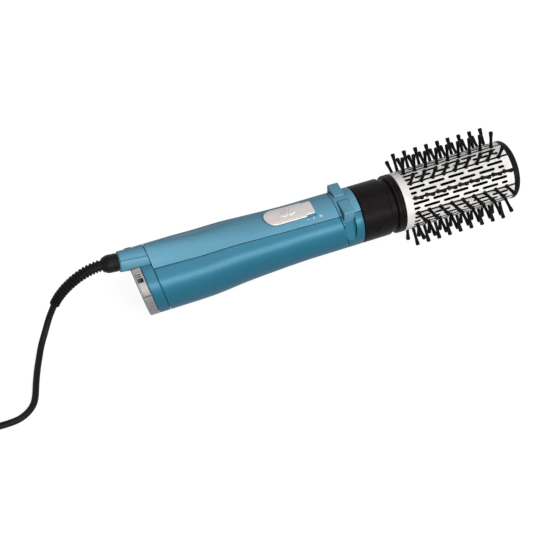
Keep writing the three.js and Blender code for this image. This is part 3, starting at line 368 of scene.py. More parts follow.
def softCorners(profile, radius, steps=3):
    # rounds each corner of a closed outline of (x, r) points
    out = []
    for i, (x, r) in enumerate(profile):
        here = Vector((x, r))
        before = Vector(profile[i - 1]) - here
        after = Vector(profile[(i + 1) % len(profile)]) - here
        reach = min(radius, before.length * 0.45, after.length * 0.45)
        if r == 0 or reach < 0.02 or before.angle(after) > radians(172):
            out.append((x, r))
            continue
        start = here + before.normalized() * reach
        end = here + after.normalized() * reach
        out += [tuple(start * (1 - t) ** 2 + here * 2 * t * (1 - t) + end * t ** 2)
                for t in spread(0, 1, steps)]
    return out


def turned(name, profile, finish, segments, corner):
    outline = softCorners(profile, corner)
    count = len(outline)
    points = [(x, r * sin(t), r * cos(t)) for t in fullCircle(segments) for x, r in outline]
    faces = gridFaces(segments, count, 0, True, True)
    # no face between two points on the axis
    faces = [face for face in faces if outline[face[0] % count][1] or outline[face[3] % count][1]]
    return makeObject(name, points, faces, finish)


def prism(name, outline, x0, x1, finish=None):
    # an outline of (y, z) points pushed along X
    points = [(x, y, z) for x in (x0, x1) for y, z in outline]
    return makeObject(name, points, pushedFaces(len(outline)), finish)


def standing(name, outlines, low, high, finish=None, matrix=toolMatrix):
    # (outline, turn) pairs: outlines of (x, y) points pushed along Z, then turned about X
    points, faces = [], []
    for outline, turn in outlines:
        faces += pushedFaces(len(outline), len(points))
        points += [turnAboutX((x, y, z), turn) for z in (low, high) for x, y in outline]
    return makeObject(name, points, faces, finish, matrix)


def peg(x, y, radius, low, high, steps=24):
    return standing("peg", [(roundOutline(x, y, radius, radius, steps), 0)], low, high)


def skinPatches(name, patches, radius, low, high, finish=None):
    # (x, angle, outline) patches laid on a round surface, from low to high above it
    points, faces = [], []
    for x, angle, outline in patches:
        faces += pushedFaces(len(outline), len(points))
        for lift in (low, high):
            for u, v in outline:
                base = valueAt(radius, x + u)
                turn = angle + v / base
                points.append((x + u, (base + lift) * sin(turn), (base + lift) * cos(turn)))
    return makeObject(name, points, faces, finish)


def sweptTube(name, centres, radii, finish, sides, matrix=tableMatrix):
    # a round tube through the centres, with a radius at each
    points, side = [], None
    for i, (centre, radius) in enumerate(zip(centres, radii)):
        tangent = (centres[min(len(centres) - 1, i + 1)] - centres[max(0, i - 1)]).normalized()
        side = side or tangent.orthogonal().normalized()
        side = (side - tangent * side.dot(tangent)).normalized()
        other = tangent.cross(side)
        points += [centre + (side * cos(t) + other * sin(t)) * radius for t in fullCircle(sides)]
    return makeObject(name, points, loftFaces(len(centres), sides), finish, matrix, 40)


def finishPiece(piece, body, slot, *nodes):
    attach(piece, body)
    if nodes:
        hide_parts(*nodes)
    return piece


# Strain relief, cord, strap and plug

cordSettings = dict(
    diameter=4.4, table=2.25,
    coilCentre=(-272.0, -37.0), coilMeanRadius=24.2, turnsAcross=3, turnsHigh=4,
    pointsPerTurn=16, lastTurnShort=0.72, bendRadius=20.0, bendX=-237.6,
    plugLength=36.0, plugZ=8.55, tailLength=24.0,
    tieAngle=70, tieWidth=9.0, tieThickness=1.1, tieCorner=1.6,
    pinRadius=2.4, pinLength=19.0, pinSpacing=19.0,
)
coneSettings = dict(
    frontX=-144.6, baseZ=20.7, rise=0.1224, length=20.0,
    baseRadius=7.86, tipRadius=6.95, bore=4.3, lean=0.17, seamAngle=41,
    bushLength=10.2, sleeveRadius=4.1, sleeveTipRadius=3.35, ribs=17, ribDepth=0.8,
)


def coneCentre(distance):
    c = coneSettings
    return Vector((c["frontX"] - c["lean"] * c["baseZ"] - distance, 0, c["baseZ"] + c["rise"] * distance))


def bezierPoint(a, b, c, d, t):
    return a * (1 - t) ** 3 + b * 3 * t * (1 - t) ** 2 + c * 3 * t * t * (1 - t) + d * t ** 3


# places on the table, in millimetres of the shared frame
coneTip = toolMatrix @ coneCentre(coneSettings["length"]) / millimetre
coneOutward = (toolFrame @ Vector((-1, 0, coneSettings["rise"]))).normalized()
bushRear = coneTip + coneOutward * (gap + coneSettings["bushLength"])
sleeveTip = bushRear + Vector((-35.1, -0.9, -23.4))
sleeveEnd = Vector((-0.5, -0.14, -0.86)).normalized()


def makeCordPath():
    s = cordSettings
    table, diameter, bend = s["table"], s["diameter"], s["bendRadius"]
    centreX, centreY = s["coilCentre"]
    outer = s["coilMeanRadius"] + (s["turnsAcross"] - 1) / 2 * diameter
    reach = sqrt((outer + diameter / 2 + gap) ** 2 - (outer - diameter / 2) ** 2)
    start, joinY = sleeveTip + sleeveEnd * gap, centreY - outer
    points = [
        start, start + sleeveEnd * 5,
        (-195.9, -2.3, 15.6), (-200.6, -6.9, 8.8), (-205.2, -13.2, 4.3), (-209.1, -21.9, 2.5),
        (-212.5, -31.2, table), (-215.6, -41.1, table), (-218.4, -51, table),
    ]
    for turn in map(radians, (-34, -53, -72, -90)):
        points.append((s["bendX"] + bend * cos(turn), joinY + bend * (1 + sin(turn)), table))
    points += [(-247, joinY, table), (centreX + reach, joinY, table)]
    # wound in on the lowest layer, out on the next, and so on, clockwise from its nearest point
    layers, across, perTurn = s["turnsHigh"], s["turnsAcross"], s["pointsPerTurn"]
    for layer in range(layers):
        top = layer == layers - 1
        for step in range(across * perTurn):
            done = step / perTurn
            if top and done > across - s["lastTurnShort"]:
                break
            turn = -pi / 2 - 2 * pi * (done + layer * across)
            # a turn keeps its radius, then steps across in its last fifth
            whole = int(done)
            last, move = whole == across - 1, ease(0.8, 1, done - whole)
            place = whole + (0 if last else move)
            radius = outer - diameter * (across - 1 - place if layer % 2 else place)
            height = table + diameter * (layer + (move if last and not top else 0))
            points.append((centreX + radius * cos(turn), centreY + radius * sin(turn), height))
    # off the top outer turn and down to the plug
    tailX, topZ = centreX - outer, table + diameter * (layers - 1)
    tail, tailStart, plugZ = s["tailLength"], centreY + reach, s["plugZ"]
    plugRear = tailStart + tail
    points += [(tailX, y, z) for y, z in (
        (centreY + reach * 0.55, topZ), (tailStart, topZ), (tailStart + tail * 0.2, topZ - 0.5),
        (tailStart + tail * 0.5, (topZ + plugZ) / 2), (plugRear - tail * 0.2, plugZ + 0.5),
        (plugRear - gap, plugZ),
    )]
    return [Vector(p) * millimetre for p in points], tailX, plugRear


def splineHandles(points):
    # each point with its two handles, a third of the way to its neighbours
    out = []
    for i, place in enumerate(points):
        before, after = points[max(0, i - 1)], points[min(len(points) - 1, i + 1)]
        lead = (after - before).normalized()
        left, right = lead * (place - before).length / 3, lead * (after - place).length / 3
        out.append((place - left, place, place + right))
    return out


cordPoints, tailX, plugRearY = makeCordPath()
cordHandles = splineHandles(cordPoints)
print("cord route ready")


def makeCord():
    data = bpy.data.curves.new("mainsCord", "CURVE")
    data.dimensions = "3D"
    data.bevel_depth, data.bevel_resolution = cordSettings["diameter"] / 2 * millimetre, 5
    data.use_fill_caps = True
    data.resolution_u = 6
    spline = data.splines.new("BEZIER")
    spline.bezier_points.add(len(cordHandles) - 1)
    for point, handles in zip(spline.bezier_points, cordHandles):
        point.handle_left_type = point.handle_right_type = "FREE"
        point.handle_left, point.co, point.handle_right = handles
    data.materials.append(bpy.data.materials["softBlackPvc"])
    return addObject("mainsCord", data)


def makeStrainRelief():
    c = coneSettings
    # the bush that sits in the cone, with a shoulder and a soft taper towards the sleeve
    profile = [
        (0, 5.2), (0.3, 5.9), (0.9, 6.1), (2.4, 6.1), (2.6, 5.9), (3.0, 5.9), (3.2, 6.1), (6.2, 6.05),
        (7.2, 5.8), (9.4, 4.9), (c["bushLength"], 4.2),
    ]
    start = coneTip + coneOutward * gap
    centres = [start + coneOutward * distance for distance, radius in profile]
    bush = sweptTube("strainRelief", centres, [radius for distance, radius in profile], "softBlackPvc", 40)
    # ribs of one width with narrower gaps between them, and a plain collar at the tip
    base, tip = c["sleeveRadius"], c["sleeveTipRadius"]
    stations = [(0.0, base)]
    for rib in range(c["ribs"]):
        for part, depth in ((0.06, 1), (0.36, 1), (0.46, 0), (0.9, 0), (0.99, 1)):
            share = 0.04 + 0.9 * (rib + part) / c["ribs"]
            stations.append((share, mix(base, tip, share) - depth * c["ribDepth"]))
    stations += [(0.945, tip - 0.4), (0.955, tip + 0.05), (0.99, tip + 0.05), (1.0, tip - 0.35)]
    route = (bushRear - coneOutward, bushRear + coneOutward * 13, sleeveTip - sleeveEnd * 12, sleeveTip)
    centres = [bezierPoint(*route, share) for share, radius in stations]
    sleeve = sweptTube("sleeve", centres, [radius for share, radius in stations], "softBlackPvc", 28)
    return combine(bush, [sleeve], "UNION", 40)


def makeCoilTie():
    # a hook and loop strap round all the turns, at one place of the coil
    s = cordSettings
    centre, turn = Vector((*s["coilCentre"], 0)), radians(s["tieAngle"])
    out, side = Vector((cos(turn), sin(turn), 0)), Vector((-sin(turn), cos(turn), 0))
    reach, top = s["turnsAcross"] * s["diameter"] / 2, s["turnsHigh"] * s["diameter"]

    def loop(offset, floor, aside):
        # a rounded rectangle that stands this far outside the turns
        soft = s["tieCorner"] + offset
        left, right = s["coilMeanRadius"] - reach - offset + soft, s["coilMeanRadius"] + reach + offset - soft
        low, high = floor + soft, top + offset - soft
        corners = ((right, low, -90), (right, high, 0), (left, high, 90), (left, low, 180))
        turns = [(x, z, radians(begin + 15 * k)) for x, z, begin in corners for k in range(7)]
        base = centre + side * aside
        return [base + out * (x + soft * cos(t)) + Vector((0, 0, z + soft * sin(t)))
                for x, z, t in turns]

    half, outside, inside = s["tieWidth"] / 2, (s["tieThickness"], 0.02), (0.15, 0.12)
    loops = [loop(*outside, -half), loop(*outside, half), loop(*inside, half), loop(*inside, -half)]
    faces = gridFaces(4, len(loops[0]), 0, True, True)
    tie = makeObject("coilTie", sum(loops, []), faces, "wovenStrap", tableMatrix)
    return roundEdges(tie, 0.2, 60)


def makePlug():
    # a flat moulded plug: rounded section, narrow ribbed neck towards the cord
    s = cordSettings
    stations = [(0, 3.6, 3.6), (0.35, 4.2, 4.2)]
    for at in (1.2, 3.1, 5.0, 6.9, 8.8):
        for step, radius in ((0, 4.4), (0.15, 3.9), (0.7, 3.9), (0.85, 4.4)):
            stations.append((at + step, radius, radius))
    stations += [
        (11.2, 4.9, 4.9), (12.2, 6.4, 5.6), (13.6, 9.2, 6.4), (15.4, 12.2, 7.1), (17.6, 14.6, 7.7),
        (20.4, 16.4, 8.2), (24, 17.4, 8.5), (27, 17.5, 8.5), (34.4, 17.1, 8.5), (35.3, 16.9, 8.3),
        (35.8, 16.5, 7.9), (s["plugLength"], 15.8, 7.3),
    ]
    sides = 64
    points = []
    for distance, halfWidth, halfHeight in stations:
        power = 2 / mix(2.2, 5.0, ease(9, 22, distance))
        for t in fullCircle(sides):
            c, d = cos(t), sin(t)
            x, z = copysign(abs(c) ** power, c), copysign(abs(d) ** power, d)
            points.append((tailX + halfWidth * x, plugRearY + distance, s["plugZ"] + halfHeight * z))
    faces = loftFaces(len(stations), sides)
    body = makeObject("mainsPlug", points, faces, "satinBlackAbs", tableMatrix, 38)
    r, length = s["pinRadius"], s["pinLength"]
    profile = [
        (-5, r), (0, r), (length - 2.2, r), (length - 1, r * 0.86), (length - 0.3, r * 0.55),
        (length, r * 0.25),
    ]
    pins = []
    for name, side in (("leftPlugPin", -1), ("rightPlugPin", 1)):
        root = Vector((tailX + side * s["pinSpacing"] / 2, plugRearY + s["plugLength"], s["plugZ"]))
        centres = [root + acrossTool * distance for distance, radius in profile]
        pins.append(sweptTube(name, centres, [radius for distance, radius in profile], "nickelPins", 32))
    return body, pins


strainRelief = finishPiece(makeStrainRelief(), "handle", "cord_rubber", "strain_relief")
mainsCord = finishPiece(makeCord(), "handle", "cord_rubber", "power_cord", "cord_coil", "cord_tail")
coilTie = finishPiece(makeCoilTie(), "handle", "cord_rubber")
plugBody, plugPins = makePlug()
finishPiece(plugBody, "handle", "black_plastic", "plug_body")
finishPiece(plugPins[0], "handle", "pin_nickel", "left_plug_pin")
finishPiece(plugPins[1], "handle", "pin_nickel", "right_plug_pin")


# The handle's form: round, flared and lowered towards the rear, with a spine that rises to the cord

handleSettings = dict(
    rearX=-144.3, frontX=-12.65, lean=0.17,
    frontRadius=20.4, rearRadius=23.8, flareStart=-35, flareEnd=-130,
    rearDrop=1.6, dropStart=-85, dropEnd=-115,
    ridgeStart=-65, ridgeHeight=7.4, ridgeHalfAngle=30,
    coverFrontAngle=38.5, coverRearAngle=28.5, wall=1.8, edge=0.28,
    screwX=-90, screwHole=1.6, headHole=3.2, headDepth=3.8, bossRadius=2.8, bossTop=20.0,
    footRadius=3.8, footHeight=6,
    postXs=(-59, -24), postY=8, postRadius=1.5, postLow=11.0, postHigh=17.4,
)


def formRadius(x):
    h = handleSettings
    return mix(h["frontRadius"], h["rearRadius"], ease(h["flareStart"], h["flareEnd"], x))


def formCentreZ(x):
    h = handleSettings
    return -h["rearDrop"] * ease(h["dropStart"], h["dropEnd"], x)


def ridge(x, angle):
    h = handleSettings
    along = max(0.0, (x - h["ridgeStart"]) / (h["rearX"] - h["ridgeStart"]))
    across = min(1.0, abs(angle) / radians(h["ridgeHalfAngle"]))
    return h["ridgeHeight"] * along ** 1.6 * cos(across * pi / 2) ** 2


def formPoint(x, angle, offset, withRidge):
    lean = handleSettings["lean"] * min(1.0, x / handleSettings["frontX"])
    radius = formRadius(x) + (ridge(x, angle) if withRidge else 0) + offset
    z = formCentreZ(x) + radius * cos(angle)
    return (x - lean * z, radius * sin(angle), z)


def coverEdge(x, side=-1):
    # the angle where the cover ends, or with side 1 where the housing starts
    h = handleSettings
    seam = radians(mix(h["coverFrontAngle"], h["coverRearAngle"], x / h["rearX"]))
    return seam + side * gap / 2 / formRadius(x)


def housingEdge(x):
    return coverEdge(x, 1)


def formWall(name, stations, start, end, outset, inset, angleSteps, finish, withRidge=True, wrapped=False):
    # a wall between two offsets from the form; its ends and offsets may change along the tool
    columns = angleSteps if wrapped else angleSteps + 1
    points = [
        formPoint(x, mix(valueAt(start, x), valueAt(end, x), j / angleSteps), valueAt(side, x), withRidge)
        for side in (outset, inset) for x in stations for j in range(columns)
    ]
    return makeObject(name, points, shellFaces(len(stations), columns, wrapped), finish)


def ringWall(name, stations, outset, inset, finish):
    return formWall(name, stations, 0, 2 * pi, outset, inset, 128, finish, False, True)


def makeUpperCover():
    h, k = handleSettings, knobSettings
    stations = spread(h["rearX"], h["frontX"] - gap, 70)
    cover = formWall(
        "upperCover", stations, lambda x: -coverEdge(x), coverEdge, 0, -h["wall"], 28, "greyBlueLacquer",
    )
    roundEdges(cover, h["edge"], 50)
    stemHalf = k["stemLength"] / 2 + gap
    cutters = [prism(
        "slot", rectangle(-k["slotHalfWidth"], k["slotHalfWidth"], k["slotLow"], k["slotHigh"]),
        k["stemX"] - stemHalf, k["stemX"] + stemHalf + k["travel"],
    )]
    # the plate's narrow end runs in a pocket that is as wide as the plate
    tongueX = k["rearX"] + k["length"] - k["tongueLength"]
    for side in (-1, 1):
        y0, y1 = sorted(side * (k["halfWidth"] + reach) for reach in (-k["tongueInset"] - 0.3, 0.15))
        pocket = rectangle(y0, y1, k["pocketFloor"], k["pocketTop"])
        cutters.append(prism("notch", pocket, tongueX - 0.2, tongueX + k["tongueLength"] + 0.3))
    combine(cover, cutters)
    posts = [peg(x, y, h["postRadius"], h["postLow"], h["postHigh"], 20)
             for x in h["postXs"] for y in (-h["postY"], h["postY"])]
    return combine(cover, posts + [peg(h["screwX"], 0, h["bossRadius"], gap / 2, h["bossTop"], 28)], "UNION")


def makeLowerHousing():
    h = handleSettings
    x, wall = h["screwX"], h["wall"]
    housing = formWall(
        "lowerHousing", spread(h["rearX"], h["frontX"] - gap, 70),
        housingEdge, lambda x: 2 * pi - housingEdge(x), 0, -wall, 90, "deepBlueLacquer",
    )
    roundEdges(housing, h["edge"], 50)
    floor = formCentreZ(x) - formRadius(x) + wall / 2
    combine(housing, [peg(x, 0, h["footRadius"], floor, floor + h["footHeight"], 32)], "UNION")
    combine(housing, [peg(x, 0, h["bossRadius"], floor + 3, -gap / 2, 32)], "UNION")
    return combine(housing, [
        peg(x, 0, h["headHole"], floor - 5, floor + h["headDepth"], 32),
        peg(x, 0, h["screwHole"], floor - 6, 2),
    ])


# Front ring, bridge and direction buttons

buttonSettings = dict(
    rearX=-13.7, length=7.7, innerY=2.2, outerY=15.3, topZ=21.1,
    underRadius=19.4, outerAngle=50, pocketRadius=17.9, pocketAngle=65, pocketWidth=8.4,
    plungerRadius=1.1, plungerHole=1.9, plungerY=7.8, plungerLow=14.2, plungerHigh=19.8,
    edge=0.4, ringEdge=0.5, ringWall=3.4,
)


def arcOutline(radius, angles):
    return [(radius * sin(a), radius * cos(a)) for a in angles]


def pocketCutters():
    s, form = buttonSettings, handleSettings["frontRadius"]
    middle, radius = s["rearX"] + s["length"] / 2, s["pocketRadius"]
    half = s["length"] / 2 + 0.5
    reach = sqrt(form ** 2 - radius ** 2) + 1.2
    cutters = []
    for side in (-1, 1):
        start, end = asin((s["innerY"] - 0.4) / form), radians(s["outerAngle"] + 3)
        angles = [side * a for a in spread(start, end, 16)]
        outline = arcOutline(radius, angles) + arcOutline(form + 3, reversed(angles))
        cutters.append(prism("sector", outline, middle - half, middle + half))
        scoop = roundOutline(middle, 0, s["pocketWidth"] / 2, reach, 48)
        turn = -side * radians(s["pocketAngle"])
        cutters.append(standing("scoop", [(scoop, turn)], radius, radius + 8))
    return cutters


def makeFrontRing():
    s, front = buttonSettings, handleSettings["frontX"]
    start, end, stations = housingEdge(front), coverEdge(front), spread(front, 0, 4)
    ring = formWall(
        "frontRing", stations, start, 2 * pi - start, 0, -s["ringWall"], 96, "deepBlueLacquer",
    )
    roundEdges(ring, s["ringEdge"], 50)
    combine(ring, pocketCutters())
    bridge = formWall("buttonBridge", stations, -end, end, 0, -s["ringWall"], 28, "greyBlueLacquer")
    roundEdges(bridge, s["edge"], 50)
    middle = s["rearX"] + s["length"] / 2
    holes = [peg(middle, side * s["plungerY"], s["plungerHole"], 10, 24) for side in (-1, 1)]
    return ring, combine(bridge, pocketCutters() + holes)


def makeButton(name, side):
    s = buttonSettings
    outline = arcOutline(s["underRadius"], spread(
        asin(s["innerY"] / s["underRadius"]), radians(s["outerAngle"]), 14,
    ))
    # over the outer corner and back along the almost flat top
    outer, top, inner = s["outerY"], s["topZ"], s["innerY"]
    outline += [
        (outer, top - 1.2), (outer - 0.12, top - 0.62), (outer - 0.45, top - 0.22), (outer - 1.2, top),
        (inner + 0.6, top - 0.2), (inner, top - 0.7),
    ]
    if side < 0:
        outline = [(-y, z) for y, z in reversed(outline)]
    button = prism(name, outline, s["rearX"], s["rearX"] + s["length"], "greyBlueLacquer")
    roundEdges(button, s["edge"], 40, 3)
    middle = s["rearX"] + s["length"] / 2
    plunger = peg(middle, side * s["plungerY"], s["plungerRadius"], s["plungerLow"], s["plungerHigh"], 20)
    return combine(button, [plunger], "UNION")


# Slide switch plate: a rounded rear, a narrower front tongue and a fan of low ribs for the thumb

knobSettings = dict(
    rearX=-66.1, length=35.2, halfWidth=7.3, roundLength=8.0, thickness=0.95,
    tongueLength=6.6, tongueInset=1.2, lift=0.35, edge=0.55, frontCorner=1.0,
    stemX=-47.5, stemLength=5.0, stemHalfWidth=2.0, stemLowZ=14.8, stemTopZ=21.0,
    travel=9.0, slotHalfWidth=2.3, slotLow=15, slotHigh=25, pocketFloor=18.6, pocketTop=23.0,
    fanX=-49.6, fanY=-2.6, fanAngle=72,
    ribLength=6.6, ribWidth=0.95, ribHeight=0.45, ribs=5,
    # place along the tool and number of bars of each printed mark, with none for the short dot
    marks=[(-37.2, 0), (-33.2, 1), (-28.6, 2)], markAngle=-24.5, markHalfWidth=0.22,
    barHalfLength=0.9, dotHalfLength=0.42, barPitch=1.1,
)


def knobHalfWidth(x):
    k = knobSettings
    back = max(0.0, (k["rearX"] + k["roundLength"] - x) / k["roundLength"])
    front = k["rearX"] + k["length"]
    inset = k["tongueInset"] if x >= front - k["tongueLength"] else 0
    inset += roundDrop(front - x, k["frontCorner"])
    return k["halfWidth"] * sqrt(max(0.0, 1 - back ** 2)) - inset


def fanRelief(x, y):
    k = knobSettings
    height = 0.0
    dx, dy = x - k["fanX"], y - k["fanY"]
    for turn in map(radians, spread(-k["fanAngle"], k["fanAngle"], k["ribs"] - 1)):
        share = (dx * sin(turn) + dy * cos(turn)) / k["ribLength"]
        aside = dx * cos(turn) - dy * sin(turn)
        if 0.12 < share < 1:
            width = k["ribWidth"] * sin(pi * share) ** 0.6
            height = max(height, k["ribHeight"] * (1 - (aside / width) ** 2))
    return height


def makeKnob():
    k = knobSettings
    front = k["rearX"] + k["length"]
    tongueX = front - k["tongueLength"]
    angles = (4, 9, 15, 22, 30, 38, 46, 54, 62, 70, 78, 86)
    stations = [k["rearX"] + k["roundLength"] * (1 - cos(radians(a))) for a in angles]
    stations += spread(stations[-1] + 0.4, tongueX - 0.08, 56)
    stations += [tongueX, tongueX + 0.15, tongueX + 0.4] + spread(tongueX + 0.8, front - 0.6, 14)
    stations += [front - 0.3, front - 0.1, front]
    columns = 49
    points = []
    for top in (True, False):
        for x in stations:
            half = knobHalfWidth(x)
            for share in spread(-1, 1, columns - 1):
                y = half * sin(pi / 2 * share)
                angle = y / (handleSettings["frontRadius"] + k["thickness"])
                radius = formRadius(x) + ridge(x, angle) + k["lift"]
                if top:
                    rim = min(half - abs(y), front - x)
                    radius += k["thickness"] - roundDrop(rim, k["edge"]) + fanRelief(x, y)
                points.append((x, radius * sin(angle), radius * cos(angle)))
    faces = shellFaces(len(stations), columns, False)
    knob = makeObject("slideSwitchPlate", points, faces, "silverLacquer", sharpAngle=40)
    stem = prism(
        "stem", rectangle(-k["stemHalfWidth"], k["stemHalfWidth"], k["stemLowZ"], k["stemTopZ"]),
        k["stemX"] - k["stemLength"] / 2, k["stemX"] + k["stemLength"] / 2,
    )
    return combine(knob, [stem], "UNION", 40)


# Position marks printed beside the plate, 0.07 mm proud: a dot, one bar and two bars
def makePositionMarks():
    k = knobSettings
    patches = []
    for x, bars in k["marks"]:
        reach = k["barHalfLength"] if bars else k["dotHalfLength"]
        outline = rectangle(-k["markHalfWidth"], k["markHalfWidth"], -reach, reach)
        for bar in range(max(1, bars)):
            patches.append((x + bar * k["barPitch"], radians(k["markAngle"]), outline))
    return skinPatches("positionMarks", patches, formRadius, -0.05, 0.07, "silverLacquer")


finishPiece(makeKnob(), "mode_knob", "silver_lacquer", "slide_switch_knob")
finishPiece(makeUpperCover(), "handle", "cover_blue", "upper_cover")
finishPiece(makeLowerHousing(), "handle", "housing_blue", "lower_housing")
ring, bridge = makeFrontRing()
finishPiece(ring, "handle", "housing_blue", "front_ring")
finishPiece(bridge, "handle", "cover_blue", "button_bridge")
finishPiece(makeButton("rightDirectionButton", -1), "right_button", "cover_blue", "right_direction_button")
finishPiece(makeButton("leftDirectionButton", 1), "left_button", "cover_blue", "left_direction_button")
finishPiece(makePositionMarks(), "handle", "silver_lacquer")
print("handle made")


# Intake end: a leaning collar, a plated bezel with a latch tab on each side, and the cord's cone

intakeSettings = dict(
    collarLength=7.3, bezelLength=6.5, bezelWall=2.2, proud=0.1, rim=1.0,
    tabHeight=0.4, tabStart=26, tabEnd=67, tabRadius=24, cutTop=28.0,
    # angle, half height, half length and floor of the window, two slots and the groove below each tab
    latchCuts=[
        (40.5, 1.5, 2.2, 20.0), (34.5, 0.45, 1.6, 23.2), (31.3, 0.45, 1.6, 23.2), (68.6, 0.45, 4.4, 23.0),
    ],
)


def makeConeRoom():
    # space round the cord's cone, taken out of the pieces that it passes through
    c = coneSettings
    axis = Vector((-1, 0, c["rise"])).normalized()
    ends = [coneCentre(0) - axis * 12, coneCentre(0) + axis * (c["length"] + 12)]
    return sweptTube("room", ends, [c["baseRadius"] + gap] * 2, None, 64, toolMatrix)


def makeCordCone():
    c = coneSettings
    rows, sides = 26, 96
    points = []
    for bore in (False, True):
        for share in spread(0, 1, rows - 1):
            distance = c["length"] * share
            centre, lean = coneCentre(distance), mix(c["lean"], -c["rise"], share)
            for angle in fullCircle(sides):
                radius = c["bore"]
                if not bore:
                    radius = mix(c["baseRadius"], c["tipRadius"], share)
                    radius -= roundDrop(c["length"] - distance, 0.9) + roundDrop(distance, 0.3)
                    # the two mould halves meet in a fine line along each side
                    aside = abs(degrees(min(angle, 2 * pi - angle)) - c["seamAngle"])
                    radius -= 0.6 * max(0.0, 1 - aside / 4)
                z = radius * cos(angle)
                points.append((centre.x - lean * z, radius * sin(angle), centre.z + z))
    return makeObject("cordCone", points, shellFaces(rows, sides, True), "greyBlueLacquer")


def latchCutters(side, middle):
    s, centreZ = intakeSettings, formCentreZ(middle)
    lifted = toolMatrix @ Matrix.Translation((0, 0, centreZ))
    blocks = []
    for angle, half, reach, floor in s["latchCuts"]:
        turn = -side * radians(angle)
        x = middle - handleSettings["lean"] * (centreZ + s["tabRadius"] * cos(turn))
        outline = rectangle(x - reach, x + reach, -half, half)
        blocks.append(standing("latchCut", [(outline, turn)], floor, s["cutTop"], "platedChrome", lifted))
    return blocks


def makeIntakeEnd():
    s, h = intakeSettings, handleSettings
    joint, wall = h["rearX"], h["wall"]
    collarRear = joint - gap - s["collarLength"]
    collar = ringWall("intakeCollar", spread(joint - gap, collarRear, 6), 0, -wall, "deepBlueLacquer")
    roundEdges(collar, h["edge"], 50)
    # a lip inside reaches under the housing's rim and closes the joint to the light
    lip = ringWall(
        "lip", spread(joint + 1.6, joint - 3.0, 4),
        lambda x: -wall - 0.2 if x > joint - gap else -wall + 0.4, -wall - 0.9, "deepBlueLacquer",
    )
    combine(collar, [lip], "UNION")
    combine(collar, [makeConeRoom()])
    front, rear = collarRear - gap, collarRear - gap - s["bezelLength"]
    stations = [front, front - 0.15, front - 0.4] + spread(front - 0.9, rear + 1.3, 5)
    stations += [rear + step for step in (1.0, 0.7, 0.45, 0.25, 0.1, 0.0)]
    bezel = ringWall(
        "chromeBezel", stations,
        lambda x: s["proud"] - roundDrop(x - rear, s["rim"]) - roundDrop(front - x, 0.3),
        lambda x: -s["bezelWall"] + roundDrop(x - rear, 0.4), "blastedChrome",
    )
    combine(bezel, [makeConeRoom()])
    tabs = []
    for name, side in (("rightLatchTab", -1), ("leftLatchTab", 1)):
        start, end = side * radians(s["tabStart"]), side * radians(s["tabEnd"])
        tab = formWall(
            name, spread(front - 0.4, rear + 1.2, 6), start, end,
            s["proud"] + s["tabHeight"], -0.6, 40, "brushedTab", False,
        )
        roundEdges(tab, 0.35, 50, 3)
        tabs.append(combine(tab, latchCutters(side, (front + rear) / 2)))
        combine(bezel, latchCutters(side, (front + rear) / 2))
    return collar, bezel, tabs


finishPiece(makeCordCone(), "handle", "cover_blue", "cord_cone")
collar, bezel, tabs = makeIntakeEnd()
finishPiece(collar, "handle", "housing_blue", "intake_collar")
finishPiece(bezel, "intake_cover", "bezel_chrome", "chrome_bezel")
for tab in tabs:
    finishPiece(tab, "intake_cover", "bezel_chrome")
print("intake end made")


# Air collar with its raised arrows, and the turning brush in front of it

collarSettings = dict(
    frontX=22.0, radius=20.4, wall=1.5, edge=0.7, webThickness=2.3,
    spigotLength=6.0, spigotRadius=16.7, seatRadius=15.4, markDepth=0.3,
    arrowX=11.8, arrowAngle=-26, arrowRadius=4.6, arrowWidth=1.1, arrowHeight=0.35,
    arrowStart=-0.6, arrowEnd=3.4, headLength=0.62, headWidth=2.6,
    ovalX=9.4, ovalAngle=-82, ovalHalfLength=2.1, ovalHalfWidth=3.4,
)
brushSettings = dict(
    baseRadius=20.9, baseFront=31.6, groove=4.3, shoulderLength=5.2,
    neckLength=11.8, neckRadius=18.5, neckInner=17.0, nubX=30.9, nubAngle=-19,
    radius=21.4, rearRadius=20.8, wall=0.8, front=115.0,
    capLength=6.1, capWall=2.2, capSpigot=4.2, hubRadius=4.2, shaftHole=2.3,
    rows=12, bristlesPerRow=9, firstX=39.9, pitch=8.55, tipRadius=33.55,
    bristleRadius=1.1, bristleEndRadius=1.5, bossRadius=1.45, bristleLean=0.012,
    slotWidth=1.9, slotLength=12.2, slotPitch=15.0, slotStart=37.4, slotEnd=109.6,
    shortestSlot=2.5, cutInside=2.5, cutOutside=1.5,
    slitStart=37.6, slitWidth=1.4, stripWidth=4.0, stripThickness=1.2,
    screenRear=37.4, screenFront=109.0, screenRadius=16.6, screenWall=0.6,
)


def arrowOutline():
    # a bent arrow: most of a ring, with a head at one end
    s = collarSettings
    middle, half, start, end = s["arrowRadius"], s["arrowWidth"] / 2, s["arrowStart"], s["arrowEnd"]
    stops = [(middle + half, t) for t in spread(start, end, 22)]
    stops += [(middle + s["headWidth"] * half, end), (middle, end + s["headLength"])]
    stops += [(middle - s["headWidth"] * half, end)]
    stops += [(middle - half, t) for t in spread(end, start, 22)]
    return [(radius * cos(t), radius * sin(t)) for radius, t in stops]


